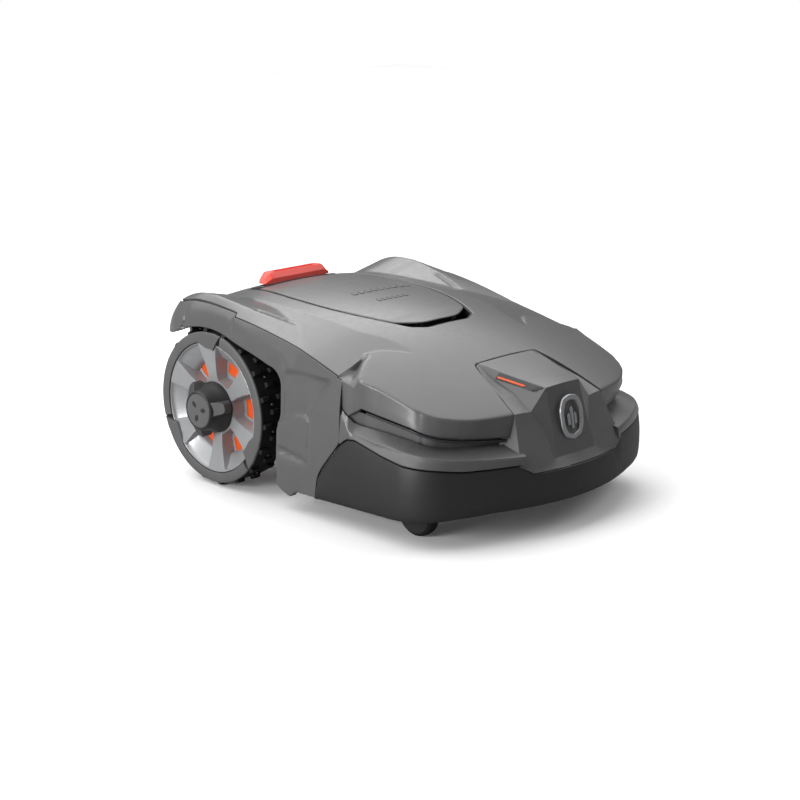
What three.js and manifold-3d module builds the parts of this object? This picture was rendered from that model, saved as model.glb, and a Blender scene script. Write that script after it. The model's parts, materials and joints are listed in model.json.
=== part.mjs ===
// Robotic lawn mower, built as the real machine is: a floating cover with bumper, hood and hatch,
// a sealed chassis with battery and motors, two driven wheels, two front casters and a height
// adjustable cutting unit with three swinging blades.
// Millimetres, +Z up, front towards -Y, origin on the ground under the middle of the machine.
import * as THREE from 'three';
import { mergeVertices } from 'three/addons/utils/BufferGeometryUtils.js';
import Module from 'manifold-3d';

// ---------------------------------------------------------------- driving dimensions
const HALF_LENGTH = 349;
const HALF_WIDTH = 257;            // body side; the hub caps stand further out
const NOSE_BOW = 720;              // the front bows by x * x / NOSE_BOW
const NOSE_Y = -347.5;
const FRONT_CORNER_R = 75;
const REAR_CORNER_R = 82;
const SKIN = 3;                    // wall of the moulded panels
const SEAM_GAP = 0.6;              // between two panels of the cover

const AXLE_Y = 200;
const AXLE_Z = 127;
const TYRE_R = 122;
const LUG_R = 127;
const TYRE_OUTER_X = 256;
const TYRE_WIDTH = 56;
const RIM_R = 104;
const HUB_X = 281;

const CASTER_X = 194;
const CASTER_Y = -212;
const CASTER_R = 36;
const CASTER_WIDTH = 26;
const CASTER_TRAIL = 12;

const DISC_Y = 10;                 // centre of the cutting disc
const DISC_R = 86;
const CUT_HEIGHT_LOW = 20;

const TUB_FLOOR_Z = 84;
const TUB_RIM_Z = 186;
const TRAY_FLOOR_Z = 238;

const BUTTON_Y = 283;
const HATCH_PIN_Y = -46;
const HATCH_PIN_Z = 264;

// ---------------------------------------------------------------- materials
function plastic(color, roughness) {
  return new THREE.MeshStandardMaterial({ color, roughness, metalness: 0 });
}

const bodyGrey = () => plastic(0x6d6e70, 0.38);
const darkGrey = () => plastic(0x4b4c4e, 0.5);
const blackPlastic = () => plastic(0x141415, 0.55);
const rubber = () => plastic(0x0e0e0f, 0.85);
const orange = () => plastic(0xd4561b, 0.45);
const red = () => plastic(0xe24a3e, 0.4);
const silver = () => new THREE.MeshStandardMaterial({ color: 0xb4b5b7, roughness: 0.35, metalness: 0.6 });
const steel = () => new THREE.MeshStandardMaterial({ color: 0xa5a7aa, roughness: 0.25, metalness: 1 });
const copper = () => new THREE.MeshStandardMaterial({ color: 0xb87850, roughness: 0.3, metalness: 1 });
const lens = () => plastic(0x1c1d20, 0.12);
const circuitGreen = () => plastic(0x1f5a34, 0.5);

// ---------------------------------------------------------------- solids
const wasm = await Module();
wasm.setup();

function solid(geometry) {
  const bare = geometry.clone();
  bare.deleteAttribute('normal');
  bare.deleteAttribute('uv');
  const merged = mergeVertices(bare, 1e-4);
  return new wasm.Manifold(new wasm.Mesh({
    numProp: 3,
    vertProperties: new Float32Array(merged.attributes.position.array),
    triVerts: new Uint32Array(merged.index.array),
  }));
}

function geometryOf(manifold) {
  const cut = manifold.getMesh();
  const geometry = new THREE.BufferGeometry();
  geometry.setAttribute('position', new THREE.BufferAttribute(new Float32Array(cut.vertProperties), 3));
  geometry.setIndex(new THREE.BufferAttribute(new Uint32Array(cut.triVerts), 1));
  return geometry;
}

function join(...pieces) {
  return pieces.map(solid).reduce((whole, piece) => whole.add(piece));
}

function cut(geometry, ...tools) {
  return geometryOf(tools.map(solid).reduce((left, tool) => left.subtract(tool), solid(geometry)));
}

const joined = (...pieces) => geometryOf(join(...pieces));
const common = (a, b) => geometryOf(solid(a).intersect(solid(b)));

// Faces given as index triples; the winding is turned round when the volume comes out negative.
function closedGeometry(points, triples) {
  let volume = 0;
  for (const [a, b, c] of triples) {
    volume += points[a].dot(new THREE.Vector3().crossVectors(points[b], points[c]));
  }
  const faces = volume < 0 ? triples.map(([a, b, c]) => [a, c, b]) : triples;
  const geometry = new THREE.BufferGeometry();
  geometry.setFromPoints(points);
  geometry.setIndex(faces.flat());
  return geometry;
}

// A closed sheet between two grids of points of the same size.
function sheet(outer, inner) {
  const rows = outer.length;
  const cols = outer[0].length;
  const points = [...outer.flat(), ...inner.flat()];
  const at = (layer, i, j) => layer * rows * cols + i * cols + j;
  const triples = [];
  const quad = (a, b, c, d) => triples.push([a, b, c], [a, c, d]);
  for (let i = 0; i < rows - 1; i++) {
    for (let j = 0; j < cols - 1; j++) {
      quad(at(0, i, j), at(0, i, j + 1), at(0, i + 1, j + 1), at(0, i + 1, j));
      quad(at(1, i, j), at(1, i + 1, j), at(1, i + 1, j + 1), at(1, i, j + 1));
    }
  }
  for (let j = 0; j < cols - 1; j++) {
    quad(at(0, 0, j), at(1, 0, j), at(1, 0, j + 1), at(0, 0, j + 1));
    quad(at(0, rows - 1, j), at(0, rows - 1, j + 1), at(1, rows - 1, j + 1), at(1, rows - 1, j));
  }
  for (let i = 0; i < rows - 1; i++) {
    quad(at(0, i, 0), at(0, i + 1, 0), at(1, i + 1, 0), at(1, i, 0));
    quad(at(0, i, cols - 1), at(1, i, cols - 1), at(1, i + 1, cols - 1), at(0, i + 1, cols - 1));
  }
  return closedGeometry(points, triples);
}

// Gives a grid of points a wall thickness against its own normals; flip = -1 turns the side round.
function thicken(grid, thickness, flip = 1) {
  const rows = grid.length;
  const cols = grid[0].length;
  const inner = grid.map((row, i) => row.map((point, j) => {
    const along = grid[i][Math.min(j + 1, cols - 1)].clone().sub(grid[i][Math.max(j - 1, 0)]);
    const down = grid[Math.min(i + 1, rows - 1)][j].clone().sub(grid[Math.max(i - 1, 0)][j]);
    const normal = new THREE.Vector3().crossVectors(along, down).normalize();
    return point.clone().addScaledVector(normal, -thickness * flip);
  }));
  return sheet(grid, inner);
}

function prism(outline, zLow, zHigh) {
  const shape = new THREE.Shape(outline.map(([x, y]) => new THREE.Vector2(x, y)));
  const geometry = new THREE.ExtrudeGeometry(shape, { depth: zHigh - zLow, bevelEnabled: false });
  return geometry.translate(0, 0, zLow);
}

// The outline lies in the (y, z) plane and is drawn out along X.
function prismX(outline, xLow, xHigh) {
  const turn = new THREE.Matrix4().makeBasis(
    new THREE.Vector3(0, 1, 0), new THREE.Vector3(0, 0, 1), new THREE.Vector3(1, 0, 0));
  return prism(outline, xLow, xHigh).applyMatrix4(turn);
}

const box = (x0, x1, y0, y1, z0, z1) => new THREE.BoxGeometry(x1 - x0, y1 - y0, z1 - z0)
  .translate((x0 + x1) / 2, (y0 + y1) / 2, (z0 + z1) / 2);

// profile: [radius, height] pairs that start and end on the axis, or close on themselves.
function latheZ(profile, segments = 32) {
  const points = profile.map(([radius, height]) => new THREE.Vector2(radius, height));
  return new THREE.LatheGeometry(points, segments).rotateX(Math.PI / 2);
}

function latheX(profile, segments = 32) {
  const points = profile.map(([radius, along]) => new THREE.Vector2(radius, along));
  return new THREE.LatheGeometry(points, segments).rotateZ(-Math.PI / 2);
}

const rod = (radius, low, high) => [[0, low], [radius, low], [radius, high], [0, high]];
const tube = (inner, outer, low, high) =>
  [[inner, low], [outer, low], [outer, high], [inner, high], [inner, low]];

function mirrored(geometry) {
  const flipped = (geometry.index ? geometry : mergeVertices(geometry)).clone();
  flipped.deleteAttribute('normal');
  flipped.scale(-1, 1, 1);
  const order = flipped.index.array;
  for (let i = 0; i < order.length; i += 3) {
    [order[i], order[i + 1]] = [order[i + 1], order[i]];
  }
  return flipped;
}

const mower = new THREE.Group();

function addMesh(name, geometry, material, place = [0, 0, 0]) {
  const part = new THREE.Mesh(geometry, material);
  part.name = name;
  part.position.set(...place);
  mower.add(part);
  return part;
}

// The same piece on both sides: made for the left side (+X) and mirrored for the right.
function addPair(name, geometry, material, place = [0, 0, 0]) {
  addMesh(`${name}_left`, geometry, material(), place);
  addMesh(`${name}_right`, mirrored(geometry), material(), [-place[0], place[1], place[2]]);
}

// ---------------------------------------------------------------- body surface
const clamp01 = (t) => Math.min(1, Math.max(0, t));
const smooth = (t) => clamp01(t) ** 2 * (3 - 2 * clamp01(t));
const softMax = (a, b, k) => Math.max(a, b) + (Math.max(0, k - Math.abs(a - b)) ** 2) / (4 * k);

// Straight lines between [position, value] pairs.
function ramp(pairs, at) {
  if (at <= pairs[0][0]) return pairs[0][1];
  for (let i = 1; i < pairs.length; i++) {
    const [x0, v0] = pairs[i - 1];
    const [x1, v1] = pairs[i];
    if (at <= x1) return v0 + (v1 - v0) * (at - x0) / (x1 - x0);
  }
  return pairs[pairs.length - 1][1];
}

// Height of the plain domed deck.
function crown(x, y) {
  const back = y - AXLE_Y;
  const across = 4.7e-4 * x * x;
  if (back > 0) return 294 - 1.2e-3 * back * back - across;
  return 294 - 2.1e-4 * back * back - 4.3e-7 * Math.abs(back) ** 3 - across;
}

// Outer edge of the flat middle of the deck; outside it the waist slopes away.
const deckEdge = (y) => 146 - 20 * smooth((-10 - y) / 80);

// Front end of the waist, where the front wing rises again.
const WING_EDGE = [[126, -125], [147, -99], [163, -83], [181, -79], [205, -81], [250, -90]];

function waist(x, y) {
  const side = Math.abs(x);
  const edge = deckEdge(y);
  if (side <= edge) return crown(x, y);
  const slope = crown(edge, y) - 0.235 * (side - edge);
  const wing = smooth((ramp(WING_EDGE, side) - y) / 9 + 0.5);
  return slope + (crown(x, y) - slope) * wing;
}

// Hump over each drive wheel.
function fender(x, y) {
  const side = Math.abs(x) - 215;
  const back = y - AXLE_Y;
  const front = 1.9e-3 * Math.max(0, -31 - back) ** 2;
  const rear = 4.5e-3 * Math.max(0, back - 45) ** 2;
  return 299 - front - rear - (side < 0 ? -0.3 * side : 0.0185 * side * side);
}

// Hollow at the rear outer corner of the wing, running down to the hood seam.
const HOLLOW_TOP = [181, -79];
const HOLLOW_RUN = [0.912, -0.41];

function hollow(x, y, surface) {
  const dx = Math.abs(x) - HOLLOW_TOP[0];
  const dy = y - HOLLOW_TOP[1];
  const along = dx * HOLLOW_RUN[0] + dy * HOLLOW_RUN[1];
  const beside = dy * HOLLOW_RUN[0] - dx * HOLLOW_RUN[1];
  if (along <= 0) return surface;
  const half = 2 + 0.25 * along;
  const floor = 0.0118 * along * along;
  return surface - floor * (1 - Math.min(1, (beside / half) ** 2));
}

const hoodHeight = (x, y) => softMax(hollow(x, y, waist(x, y)), fender(x, y), 5);

// ---------------------------------------------------------------- plan outline of the body
// A point of the outline at distance s along it from the nose, on the left side, with the
// outward normal. It bows round the front, turns the front corner, runs back along the side
// and turns the rear corner to the tail.
const CORNER_X = HALF_WIDTH - FRONT_CORNER_R;
const BOW_END_X = 221.5;
const BOW_END_TURN = Math.atan(2 * BOW_END_X / NOSE_BOW);
const CORNER_Y = NOSE_Y + BOW_END_X ** 2 / NOSE_BOW + FRONT_CORNER_R * Math.cos(BOW_END_TURN);
const REAR_CORNER_Y = HALF_LENGTH - REAR_CORNER_R;

function bowLength(x) {
  const m = 2 * x / NOSE_BOW;
  return NOSE_BOW / 4 * (m * Math.sqrt(1 + m * m) + Math.asinh(m));
}

const S_CORNER = bowLength(BOW_END_X);
const S_SIDE = S_CORNER + FRONT_CORNER_R * (Math.PI / 2 - BOW_END_TURN);
const S_REAR = S_SIDE + REAR_CORNER_Y - CORNER_Y;
const S_TAIL = S_REAR + REAR_CORNER_R * Math.PI / 2;
const sideS = (y) => S_SIDE + y - CORNER_Y;

function bowX(s) {
  let x = s;
  for (let step = 0; step < 4; step++) x -= (bowLength(x) - s) / Math.hypot(1, 2 * x / NOSE_BOW);
  return x;
}

function outlineAt(s) {
  if (s < S_CORNER) {
    const x = bowX(s);
    const turn = Math.atan(2 * x / NOSE_BOW);
    return { x, y: NOSE_Y + x * x / NOSE_BOW, nx: Math.sin(turn), ny: -Math.cos(turn) };
  }
  if (s < S_SIDE) {
    const turn = BOW_END_TURN + (s - S_CORNER) / FRONT_CORNER_R;
    const nx = Math.sin(turn);
    const ny = -Math.cos(turn);
    return { x: CORNER_X + FRONT_CORNER_R * nx, y: CORNER_Y + FRONT_CORNER_R * ny, nx, ny };
  }
  if (s < S_REAR) return { x: HALF_WIDTH, y: CORNER_Y + s - S_SIDE, nx: 1, ny: 0 };
  const turn = Math.min(Math.PI / 2, (s - S_REAR) / REAR_CORNER_R);
  const nx = Math.cos(turn);
  const ny = Math.sin(turn);
  const past = Math.max(0, s - S_TAIL);
  const cornerX = HALF_WIDTH - REAR_CORNER_R;
  return { x: cornerX + REAR_CORNER_R * nx - past, y: REAR_CORNER_Y + REAR_CORNER_R * ny, nx, ny };
}

function outlinePoint(s, inset, z) {
  const { x, y, nx, ny } = outlineAt(s);
  return new THREE.Vector3(x - nx * inset, y - ny * inset, z);
}

// Evenly spread numbers from low to high, both included.
const spread = (low, high, count) =>
  Array.from({ length: count }, (_, i) => low + (high - low) * i / (count - 1));

// Levels along the outline: [distance, value] pairs.
const LIP_START = 109;
const LIP_END = sideS(-130);
const BAND_END = sideS(-98);
const LIP_TOP_INSET = [[109, 33], [180, 24], [209, 24], [258, 30], [285, 31],
  [LIP_END - 28, 20], [LIP_END, 15]];
const LIP_FOOT_INSET = [[109, 33], [198, 31], [306, 24], [LIP_END, 14]];
const LIP_FOOT_Z = [[109, 151], [198, 157], [306, 175], [LIP_END, 186]];
const LEDGE_Z = [[109, 129], [190, 133], [223, 135], [285, 140], [362, 145], [BAND_END, 155]];
const LEDGE_INSET = [[109, 3], [223, 3], [285, 10], [362, 10], [BAND_END, 4]];
const SLIT_INSET = [[109, 42], [200, 44], [300, 42], [BAND_END, 16]];
const SLIT_Z = [[109, 139], [200, 140], [300, 148], [BAND_END, 165]];
const BUMPER_TOP = [[0, 100], [94, 100], [117, 115], [209, 115], [245, 119], [300, 122], [343, 128],
  [sideS(-130), 140], [sideS(-114), 139], [sideS(-107), 135], [sideS(-94), 125], [sideS(-60), 85],
  [sideS(-50), 70], [sideS(-45), 42]];
const BUMPER_FOOT = [[0, 50], [156, 50], [230, 45], [326, 38], [sideS(-45), 33]];
const BUMPER_END = sideS(-45);

// The hood's seam with the side and rear panels, as an inset from the outline.
const SEAM_INSET = [[sideS(-90), 7], [sideS(10), 18], [sideS(150), 22], [S_REAR, 22], [S_TAIL, 16]];
const BEND_Z = [[sideS(-90), 150], [sideS(10), 170], [sideS(120), 235], [sideS(260), 240], [S_REAR, 230],
  [S_TAIL, 225]];

function seamHeight(s) {
  const at = outlinePoint(s, ramp(SEAM_INSET, s), 0);
  return hoodHeight(at.x, at.y);
}

// Side surface: upright up to the bend, then curving in to the seam.
function sidePoint(s, z) {
  const bend = ramp(BEND_Z, s);
  const rise = clamp01((z - bend) / (seamHeight(s) - bend));
  return outlinePoint(s, ramp(SEAM_INSET, s) * rise * rise, z);
}

// ---------------------------------------------------------------- cover panels
const bothSides = (left) => [...left, ...left.map(([x, y]) => [-x, y]).reverse()];

// Hatch opening: half width at y.
function hatchHalf(y) {
  const off = y - 110;
  return 116 - (off < 0 ? 1.6e-3 : 0.75e-3) * off * off;
}

function hatchOutline(inset, front, rear, corner = 16) {
  const side = spread(front + 0.9 * corner, rear, 9).map((y) => [hatchHalf(y) - inset, y]);
  return bothSides([[hatchHalf(front) - inset - corner, front], ...side]);
}

const TRAY_FRONT = -75;
const TRAY_REAR = 302;
const HATCH_FRONT = -56;
const HATCH_REAR = 265;

const SNOUT_NOTCH = [[68, -192], [76, -215], [90, -265]];

function hoodOutline(grow = 0) {
  const lip = spread(LIP_START, LIP_END, 14).map((s) => outlinePoint(s, ramp(LIP_TOP_INSET, s) - grow, 0));
  const side = spread(sideS(-90), S_REAR, 12).map((s) => outlinePoint(s, ramp(SEAM_INSET, s) - grow, 0));
  const rear = spread(S_REAR + 12, S_TAIL, 6).map((s) => outlinePoint(s, ramp(SEAM_INSET, s) - grow, 0));
  const curve = [...lip, ...side, ...rear].map((point) => [point.x, point.y]);
  return bothSides([...SNOUT_NOTCH.map(([x, y]) => [x - grow, y - grow]), ...curve]);
}

// A sheet of even height thickness that follows a height function over the whole plan.
function deckSheet(height, thickness) {
  const half = [0, 45, 90, 125, 146, 165, 183, 200, 215, 235, 262];
  const across = [...half.slice(1).reverse().map((x) => -x), ...half];
  const along = [-352, -325, -295, -260, -225, -190, -155, -130, -118, -106, -94, -80, -60, -30, 5, 40, 75, 110,
    150, 200, 250, 290, 320, 352];
  const top = along.map((y) => across.map((x) => new THREE.Vector3(x, y, height(x, y))));
  const under = top.map((row) => row.map((p) => p.clone().setZ(p.z - thickness)));
  return sheet(top, under);
}

function sideGrid(sections, profile) {
  return sections.map((s) => profile(s));
}

function lipWall() {
  const sections = spread(LIP_START + 0.6, LIP_END, 18);
  const grid = sideGrid(sections, (s) => {
    const top = outlinePoint(s, ramp(LIP_TOP_INSET, s) + 0.4, 0);
    top.z = hoodHeight(top.x, top.y) - 0.8;
    return [top, outlinePoint(s, ramp(LIP_FOOT_INSET, s), ramp(LIP_FOOT_Z, s))];
  });
  return thicken(grid, SKIN);
}

function makeHood() {
  const deck = common(deckSheet(hoodHeight, SKIN), prism(hoodOutline(), 100, 320));
  const wall = lipWall();
  const whole = joined(deck, wall, mirrored(wall));
  addMesh('hood', cut(whole, prism(hatchOutline(0, TRAY_FRONT, TRAY_REAR), 200, 330)), bodyGrey());
}

// Front band under the slit: foot on the bumper seam, ledge on top, folding in to the slit.
function bandGrid() {
  return sideGrid(spread(LIP_START - 6, BAND_END - 1, 22), (s) => [
    outlinePoint(s, ramp(SLIT_INSET, s), ramp(SLIT_Z, s)),
    outlinePoint(s, ramp(LEDGE_INSET, s), ramp(LEDGE_Z, s)),
    outlinePoint(s, 1.5, ramp(BUMPER_TOP, s) + 1.2),
  ]);
}

function noseGrid() {
  const half = spread(0, LIP_START - 2, 7);
  const levels = [[34, 183], [27, 150], [14, 120], [2, 0]];
  return half.map((s) => levels.map(([inset, z]) => outlinePoint(s, inset, z || ramp(BUMPER_TOP, s) + 1.2)));
}

// Raised snout, row by row from its rear edge over the top and down the front face:
// y, then x and z of the top edge, of the foot of its side wall, and of the shelf beside it.
const SNOUT_ROWS = [
  [-192.5, 60, 234, 64, 233, 66.5, 232.5],
  [-230, 54, 227, 60, 219, 78, 214],
  [-265, 46, 220.5, 62, 200, 88, 200],
  [-305, 37, 213.5, 66, 182, 96, 182],
  [-323, 40, 150, 45, 149, 60, 146],
  [-335, 43, 112, 45, 111, 52, 110],
];

function snoutGrid() {
  return SNOUT_ROWS.map(([y, edgeX, edgeZ, footX, footZ, shelfX, shelfZ]) => {
    const left = [[shelfX, shelfZ], [footX, footZ], [edgeX, edgeZ]];
    const right = [...left].reverse().map(([x, z]) => [-x, z]);
    return [...left, ...right].map(([x, z]) => new THREE.Vector3(x, y, z));
  });
}

function makeFrontFascia() {
  const band = thicken(bandGrid(), SKIN);
  const nose = thicken(noseGrid(), SKIN);
  const snout = thicken(snoutGrid(), 4);
  const whole = joined(nose, mirrored(nose), band, mirrored(band), snout);
  const bumperRoom = bumperWall().translate(0, 0, SEAM_GAP);
  const lampRoom = lampBlock(0.5);
  const aboveHood = deckSheet((x, y) => hoodHeight(x, y) + SEAM_GAP, 26);
  const hoodRoom = common(aboveHood, prism(hoodOutline(SEAM_GAP), 100, 320));
  addMesh('front_fascia', cut(whole, bumperRoom, hoodRoom, lampRoom, mirrored(lampRoom)), bodyGrey());
}

function bumperWall() {
  const half = spread(0, BUMPER_END, 30);
  const left = half.map((s) => {
    const top = ramp(BUMPER_TOP, s);
    const foot = ramp(BUMPER_FOOT, s);
    const belly = foot + 0.55 * (top - foot);
    return [outlinePoint(s, 1.5, top), outlinePoint(s, -1.5, belly), outlinePoint(s, 1, foot)];
  });
  const right = left.slice(1).reverse().map((row) => row.map((p) => new THREE.Vector3(-p.x, p.y, p.z)));
  return thicken([...right, ...left], 4);
}

const ARCH = [[45, -5], [45, 69], [43, 141], [41, 198], [52, 214], [94, 228], [136, 238],
  [180, 251], [220, 254], [260, 248], [297, 232], [345, 226], [420, 226], [420, -5]];
const PANEL_FRONT = [[-140, -5], [-43.8, -5], [-43.8, 35], [-48.8, 70], [-58.8, 86],
  [-92.8, 126.5], [-98, 134], [-98, 300], [-140, 300]];

function sidePanel() {
  const sections = [...spread(sideS(-110), S_REAR, 18), ...spread(S_REAR + 12, S_TAIL, 6)];
  const grid = sideGrid(sections, (s) => {
    const top = seamHeight(s);
    const bend = ramp(BEND_Z, s);
    const levels = [...spread(top, bend, 5), 0.5 * (bend + 24), 24];
    return levels.map((z) => sidePoint(s, z));
  });
  const underHood = prism(hoodOutline(SEAM_GAP), 190, 330);
  return cut(thicken(grid, SKIN), prismX(ARCH, 150, 300), prismX(PANEL_FRONT, 150, 300), underHood);
}

const REAR_HALF = HALF_WIDTH - REAR_CORNER_R - 1;

function makeRearPanel() {
  const rows = spread(-REAR_HALF, REAR_HALF, 13).map((x) => {
    const s = S_TAIL + (HALF_WIDTH - REAR_CORNER_R - Math.abs(x));
    const inset = ramp(SEAM_INSET, s);
    const top = hoodHeight(x, HALF_LENGTH - inset);
    const bend = ramp(BEND_Z, s);
    const upper = spread(top, bend, 4).map((z) => {
      const rise = (z - bend) / (top - bend);
      return new THREE.Vector3(x, HALF_LENGTH - inset * rise * rise, z);
    });
    return [...upper, new THREE.Vector3(x, HALF_LENGTH, 170), new THREE.Vector3(x, HALF_LENGTH - 14, 100)];
  });
  const panel = cut(thicken(rows, SKIN, -1), prism(hoodOutline(SEAM_GAP), 190, 330));
  addMesh('rear_panel', panel, bodyGrey());
}

function makeHeadlights() {
  const grid = sideGrid(spread(LIP_START + 6, sideS(-118), 14), (s) => {
    const inset = ramp(SLIT_INSET, s) - 6;
    const floor = ramp(SLIT_Z, s) + 4.2;
    return [outlinePoint(s, inset, floor + 5), outlinePoint(s, inset, floor)];
  });
  addPair('headlight', thicken(grid, 3), lens);
}

// Position lamp under the top edge of the snout; grow makes the pocket that it sits in.
function lampBlock(grow) {
  const grid = spread(-232 + grow, -299 - grow, 4).map((y) => {
    const column = (i) => ramp(SNOUT_ROWS.map((row) => [-row[0], row[i]]), -y);
    const [edgeX, edgeZ, footX, footZ] = [1, 2, 3, 4].map(column);
    const wall = new THREE.Vector3(footX - edgeX, 0, footZ - edgeZ).normalize();
    const out = new THREE.Vector3(-wall.z, 0, wall.x);
    const edge = new THREE.Vector3(edgeX, y, edgeZ).addScaledVector(out, 0.5 + grow * 2);
    return [1.2 - grow, 9.2 + grow].map((down) => edge.clone().addScaledVector(wall, down));
  });
  return thicken(grid, 3 + grow * 3, -1);
}

function makeBadgePlate() {
  const outline = [[-20, 138], [-14, 132], [14, 132], [20, 138],
    [22, 184], [14, 192], [-14, 192], [-22, 184]];
  const lay = new THREE.Matrix4().makeBasis(
    new THREE.Vector3(1, 0, 0), new THREE.Vector3(0, 0.21, 0.978), new THREE.Vector3(0, -0.978, 0.21));
  const flat = outline.map(([x, z]) => [x, z - 162]);
  const plate = prism(flat, 0, 2.2).applyMatrix4(lay);
  addMesh('badge_plate', plate, silver(), [0, -323.3, 162]);
}

// ---------------------------------------------------------------- hatch, tray and buttons
const POST_X = 96;
const POST_YS = [-150, 235];
const LEG_YS = [-20, 235];         // where the tray stands on the carrier
const POST_TOP = 214;
const TRAY_WALL = 2.5;
const DISPLAY_Y = 190;
const DIAL_Y = 95;
const POWER_X = 48;

function makeHatchTray() {
  const outer = prism(hatchOutline(0.5, TRAY_FRONT + 0.5, TRAY_REAR - 0.5), TRAY_FLOOR_Z, 330);
  const inner = prism(hatchOutline(TRAY_WALL, TRAY_FRONT + 3, TRAY_REAR - 3), TRAY_FLOOR_Z + SKIN, 330);
  const below = deckSheet((x, y) => crown(x, y) - 1.5, 80);
  const lugs = [-1, 1].map((side) => box(side * 34 - 3, side * 34 + 3, HATCH_PIN_Y - 4.6, HATCH_PIN_Y + 4.6,
    TRAY_FLOOR_Z + 1, HATCH_PIN_Z + 4.6));
  const bore = latheX(rod(3, -45, 45), 20).translate(0, HATCH_PIN_Y, HATCH_PIN_Z);
  const hole = latheZ(rod(9.5, TRAY_FLOOR_Z - 5, TRAY_FLOOR_Z + 9), 24).translate(0, DIAL_Y, 0);
  const powerHole = latheZ(rod(6.5, TRAY_FLOOR_Z - 5, TRAY_FLOOR_Z + 9), 24).translate(POWER_X, DIAL_Y, 0);
  const plungerHole = box(-36, 36, BUTTON_Y - 6, BUTTON_Y + 6, TRAY_FLOOR_Z - 5, TRAY_FLOOR_Z + 9);
  const tub = common(cut(outer, inner), below);
  const leg = rod(8, POST_TOP + 6.4, TRAY_FLOOR_Z + 1);
  const legs = LEG_YS.flatMap((y) => [-1, 1].map((side) =>
    latheZ(leg, 16).translate(side * (POST_X - 12), y, 0)));
  const tray = cut(joined(tub, ...lugs, ...legs), bore, hole, powerHole, plungerHole);
  addMesh('hatch_tray', tray, blackPlastic());
  addMesh('hatch_pin', latheX(rod(2.6, -44, 44), 20).translate(0, HATCH_PIN_Y, HATCH_PIN_Z), steel());
}

function makeHatchCover() {
  const outline = hatchOutline(3.8, HATCH_FRONT, HATCH_REAR, 26);
  const plate = common(deckSheet(crown, SKIN), prism(outline, 200, 330));
  const arm = (side) => prismX([[HATCH_PIN_Y - 5, HATCH_PIN_Z - 5], [HATCH_PIN_Y + 5, HATCH_PIN_Z - 5],
    [HATCH_PIN_Y + 9, HATCH_PIN_Z + 10], [HATCH_PIN_Y - 4, HATCH_PIN_Z + 8]], side * 26 - 4, side * 26 + 4);
  const bore = latheX(rod(3, -45, 45), 20).translate(0, HATCH_PIN_Y, HATCH_PIN_Z);
  addMesh('hatch_cover', cut(joined(plate, arm(-1), arm(1)), bore), bodyGrey());
}

const BEZEL_HALF = 82;

function makeStopButton() {
  const bezelOutline = bothSides([[BEZEL_HALF, HATCH_REAR + 1.5], [BEZEL_HALF + 4, TRAY_REAR - 5]]);
  const bezelTop = common(deckSheet((x, y) => crown(x, y) + 2, 14), prism(bezelOutline, 240, 330));
  const well = box(-75, 75, BUTTON_Y - 13, BUTTON_Y + 13, 240, 330);
  addMesh('stop_button_bezel', cut(bezelTop, well), blackPlastic());

  const bar = prism([[-74, -8], [-66, -12], [66, -12], [74, -8],
    [74, 8], [66, 12], [-66, 12], [-74, 8]], 0, 18);
  const frontChamfer = prismX([[-14, 20], [-14, 6], [-4.5, 20]], -90, 90);
  const pocket = box(-46, 46, -3, 7, 15, 30);
  const plunger = box(-34, 34, -5, 5, -55, 1);
  const button = cut(joined(cut(bar, frontChamfer), plunger), pocket);
  addMesh('stop_button', button, red(), [0, BUTTON_Y, 287]);
}

function makeControls() {
  const floor = TRAY_FLOOR_Z + SKIN + 0.3;
  const screen = cut(box(-62, 62, DISPLAY_Y - 34, DISPLAY_Y + 34, floor, floor + 9),
    box(-52, 52, DISPLAY_Y - 24, DISPLAY_Y + 24, floor + 7.5, floor + 12));
  addMesh('display_panel', screen, lens());
  const grip = latheZ([[0, -14], [8.5, -14], [8.5, 1], [20, 1], [20, 10], [17, 13], [0, 13]], 28);
  addMesh('jog_dial', grip, darkGrey(), [0, DIAL_Y, floor]);
  addMesh('power_button', latheZ([[0, -12], [5.5, -12], [5.5, 2], [9, 2], [9, 6], [0, 6]], 24),
    orange(), [POWER_X, DIAL_Y, floor + 3]);
}

// ---------------------------------------------------------------- floating mount of the cover
function makeCoverMount() {
  const bar = (y) => box(-POST_X - 20, POST_X + 20, y - 8, y + 8, POST_TOP + 0.4, POST_TOP + 6);
  const rail = (x) => box(x - 22, x + 22, POST_YS[0], POST_YS[1], POST_TOP + 0.4, POST_TOP + 6);
  addMesh('cover_carrier', joined(bar(POST_YS[0]), bar(POST_YS[1]), rail(-POST_X), rail(POST_X)), darkGrey());
  const post = latheZ([[0, 0], [13, 0], [13, 5], [8, 9], [8, 15], [11, 19], [11, POST_TOP - TUB_RIM_Z - 6.6],
    [0, POST_TOP - TUB_RIM_Z - 6.6]], 20);
  for (const y of POST_YS) {
    addPair(y < 0 ? 'float_post_front' : 'float_post_rear', post, rubber, [POST_X, y, TUB_RIM_Z + 6.4]);
  }
}

// ---------------------------------------------------------------- chassis
const TUB_OUTLINE = [[120, -262], [150, -250], [150, -130], [176, -110], [176, 120], [150, 150], [150, 250],
  [130, 285]];
const insetOutline = (outline, by) => outline.map(([x, y]) => [x - by, y + (y < 0 ? by : -by)]);

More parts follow.
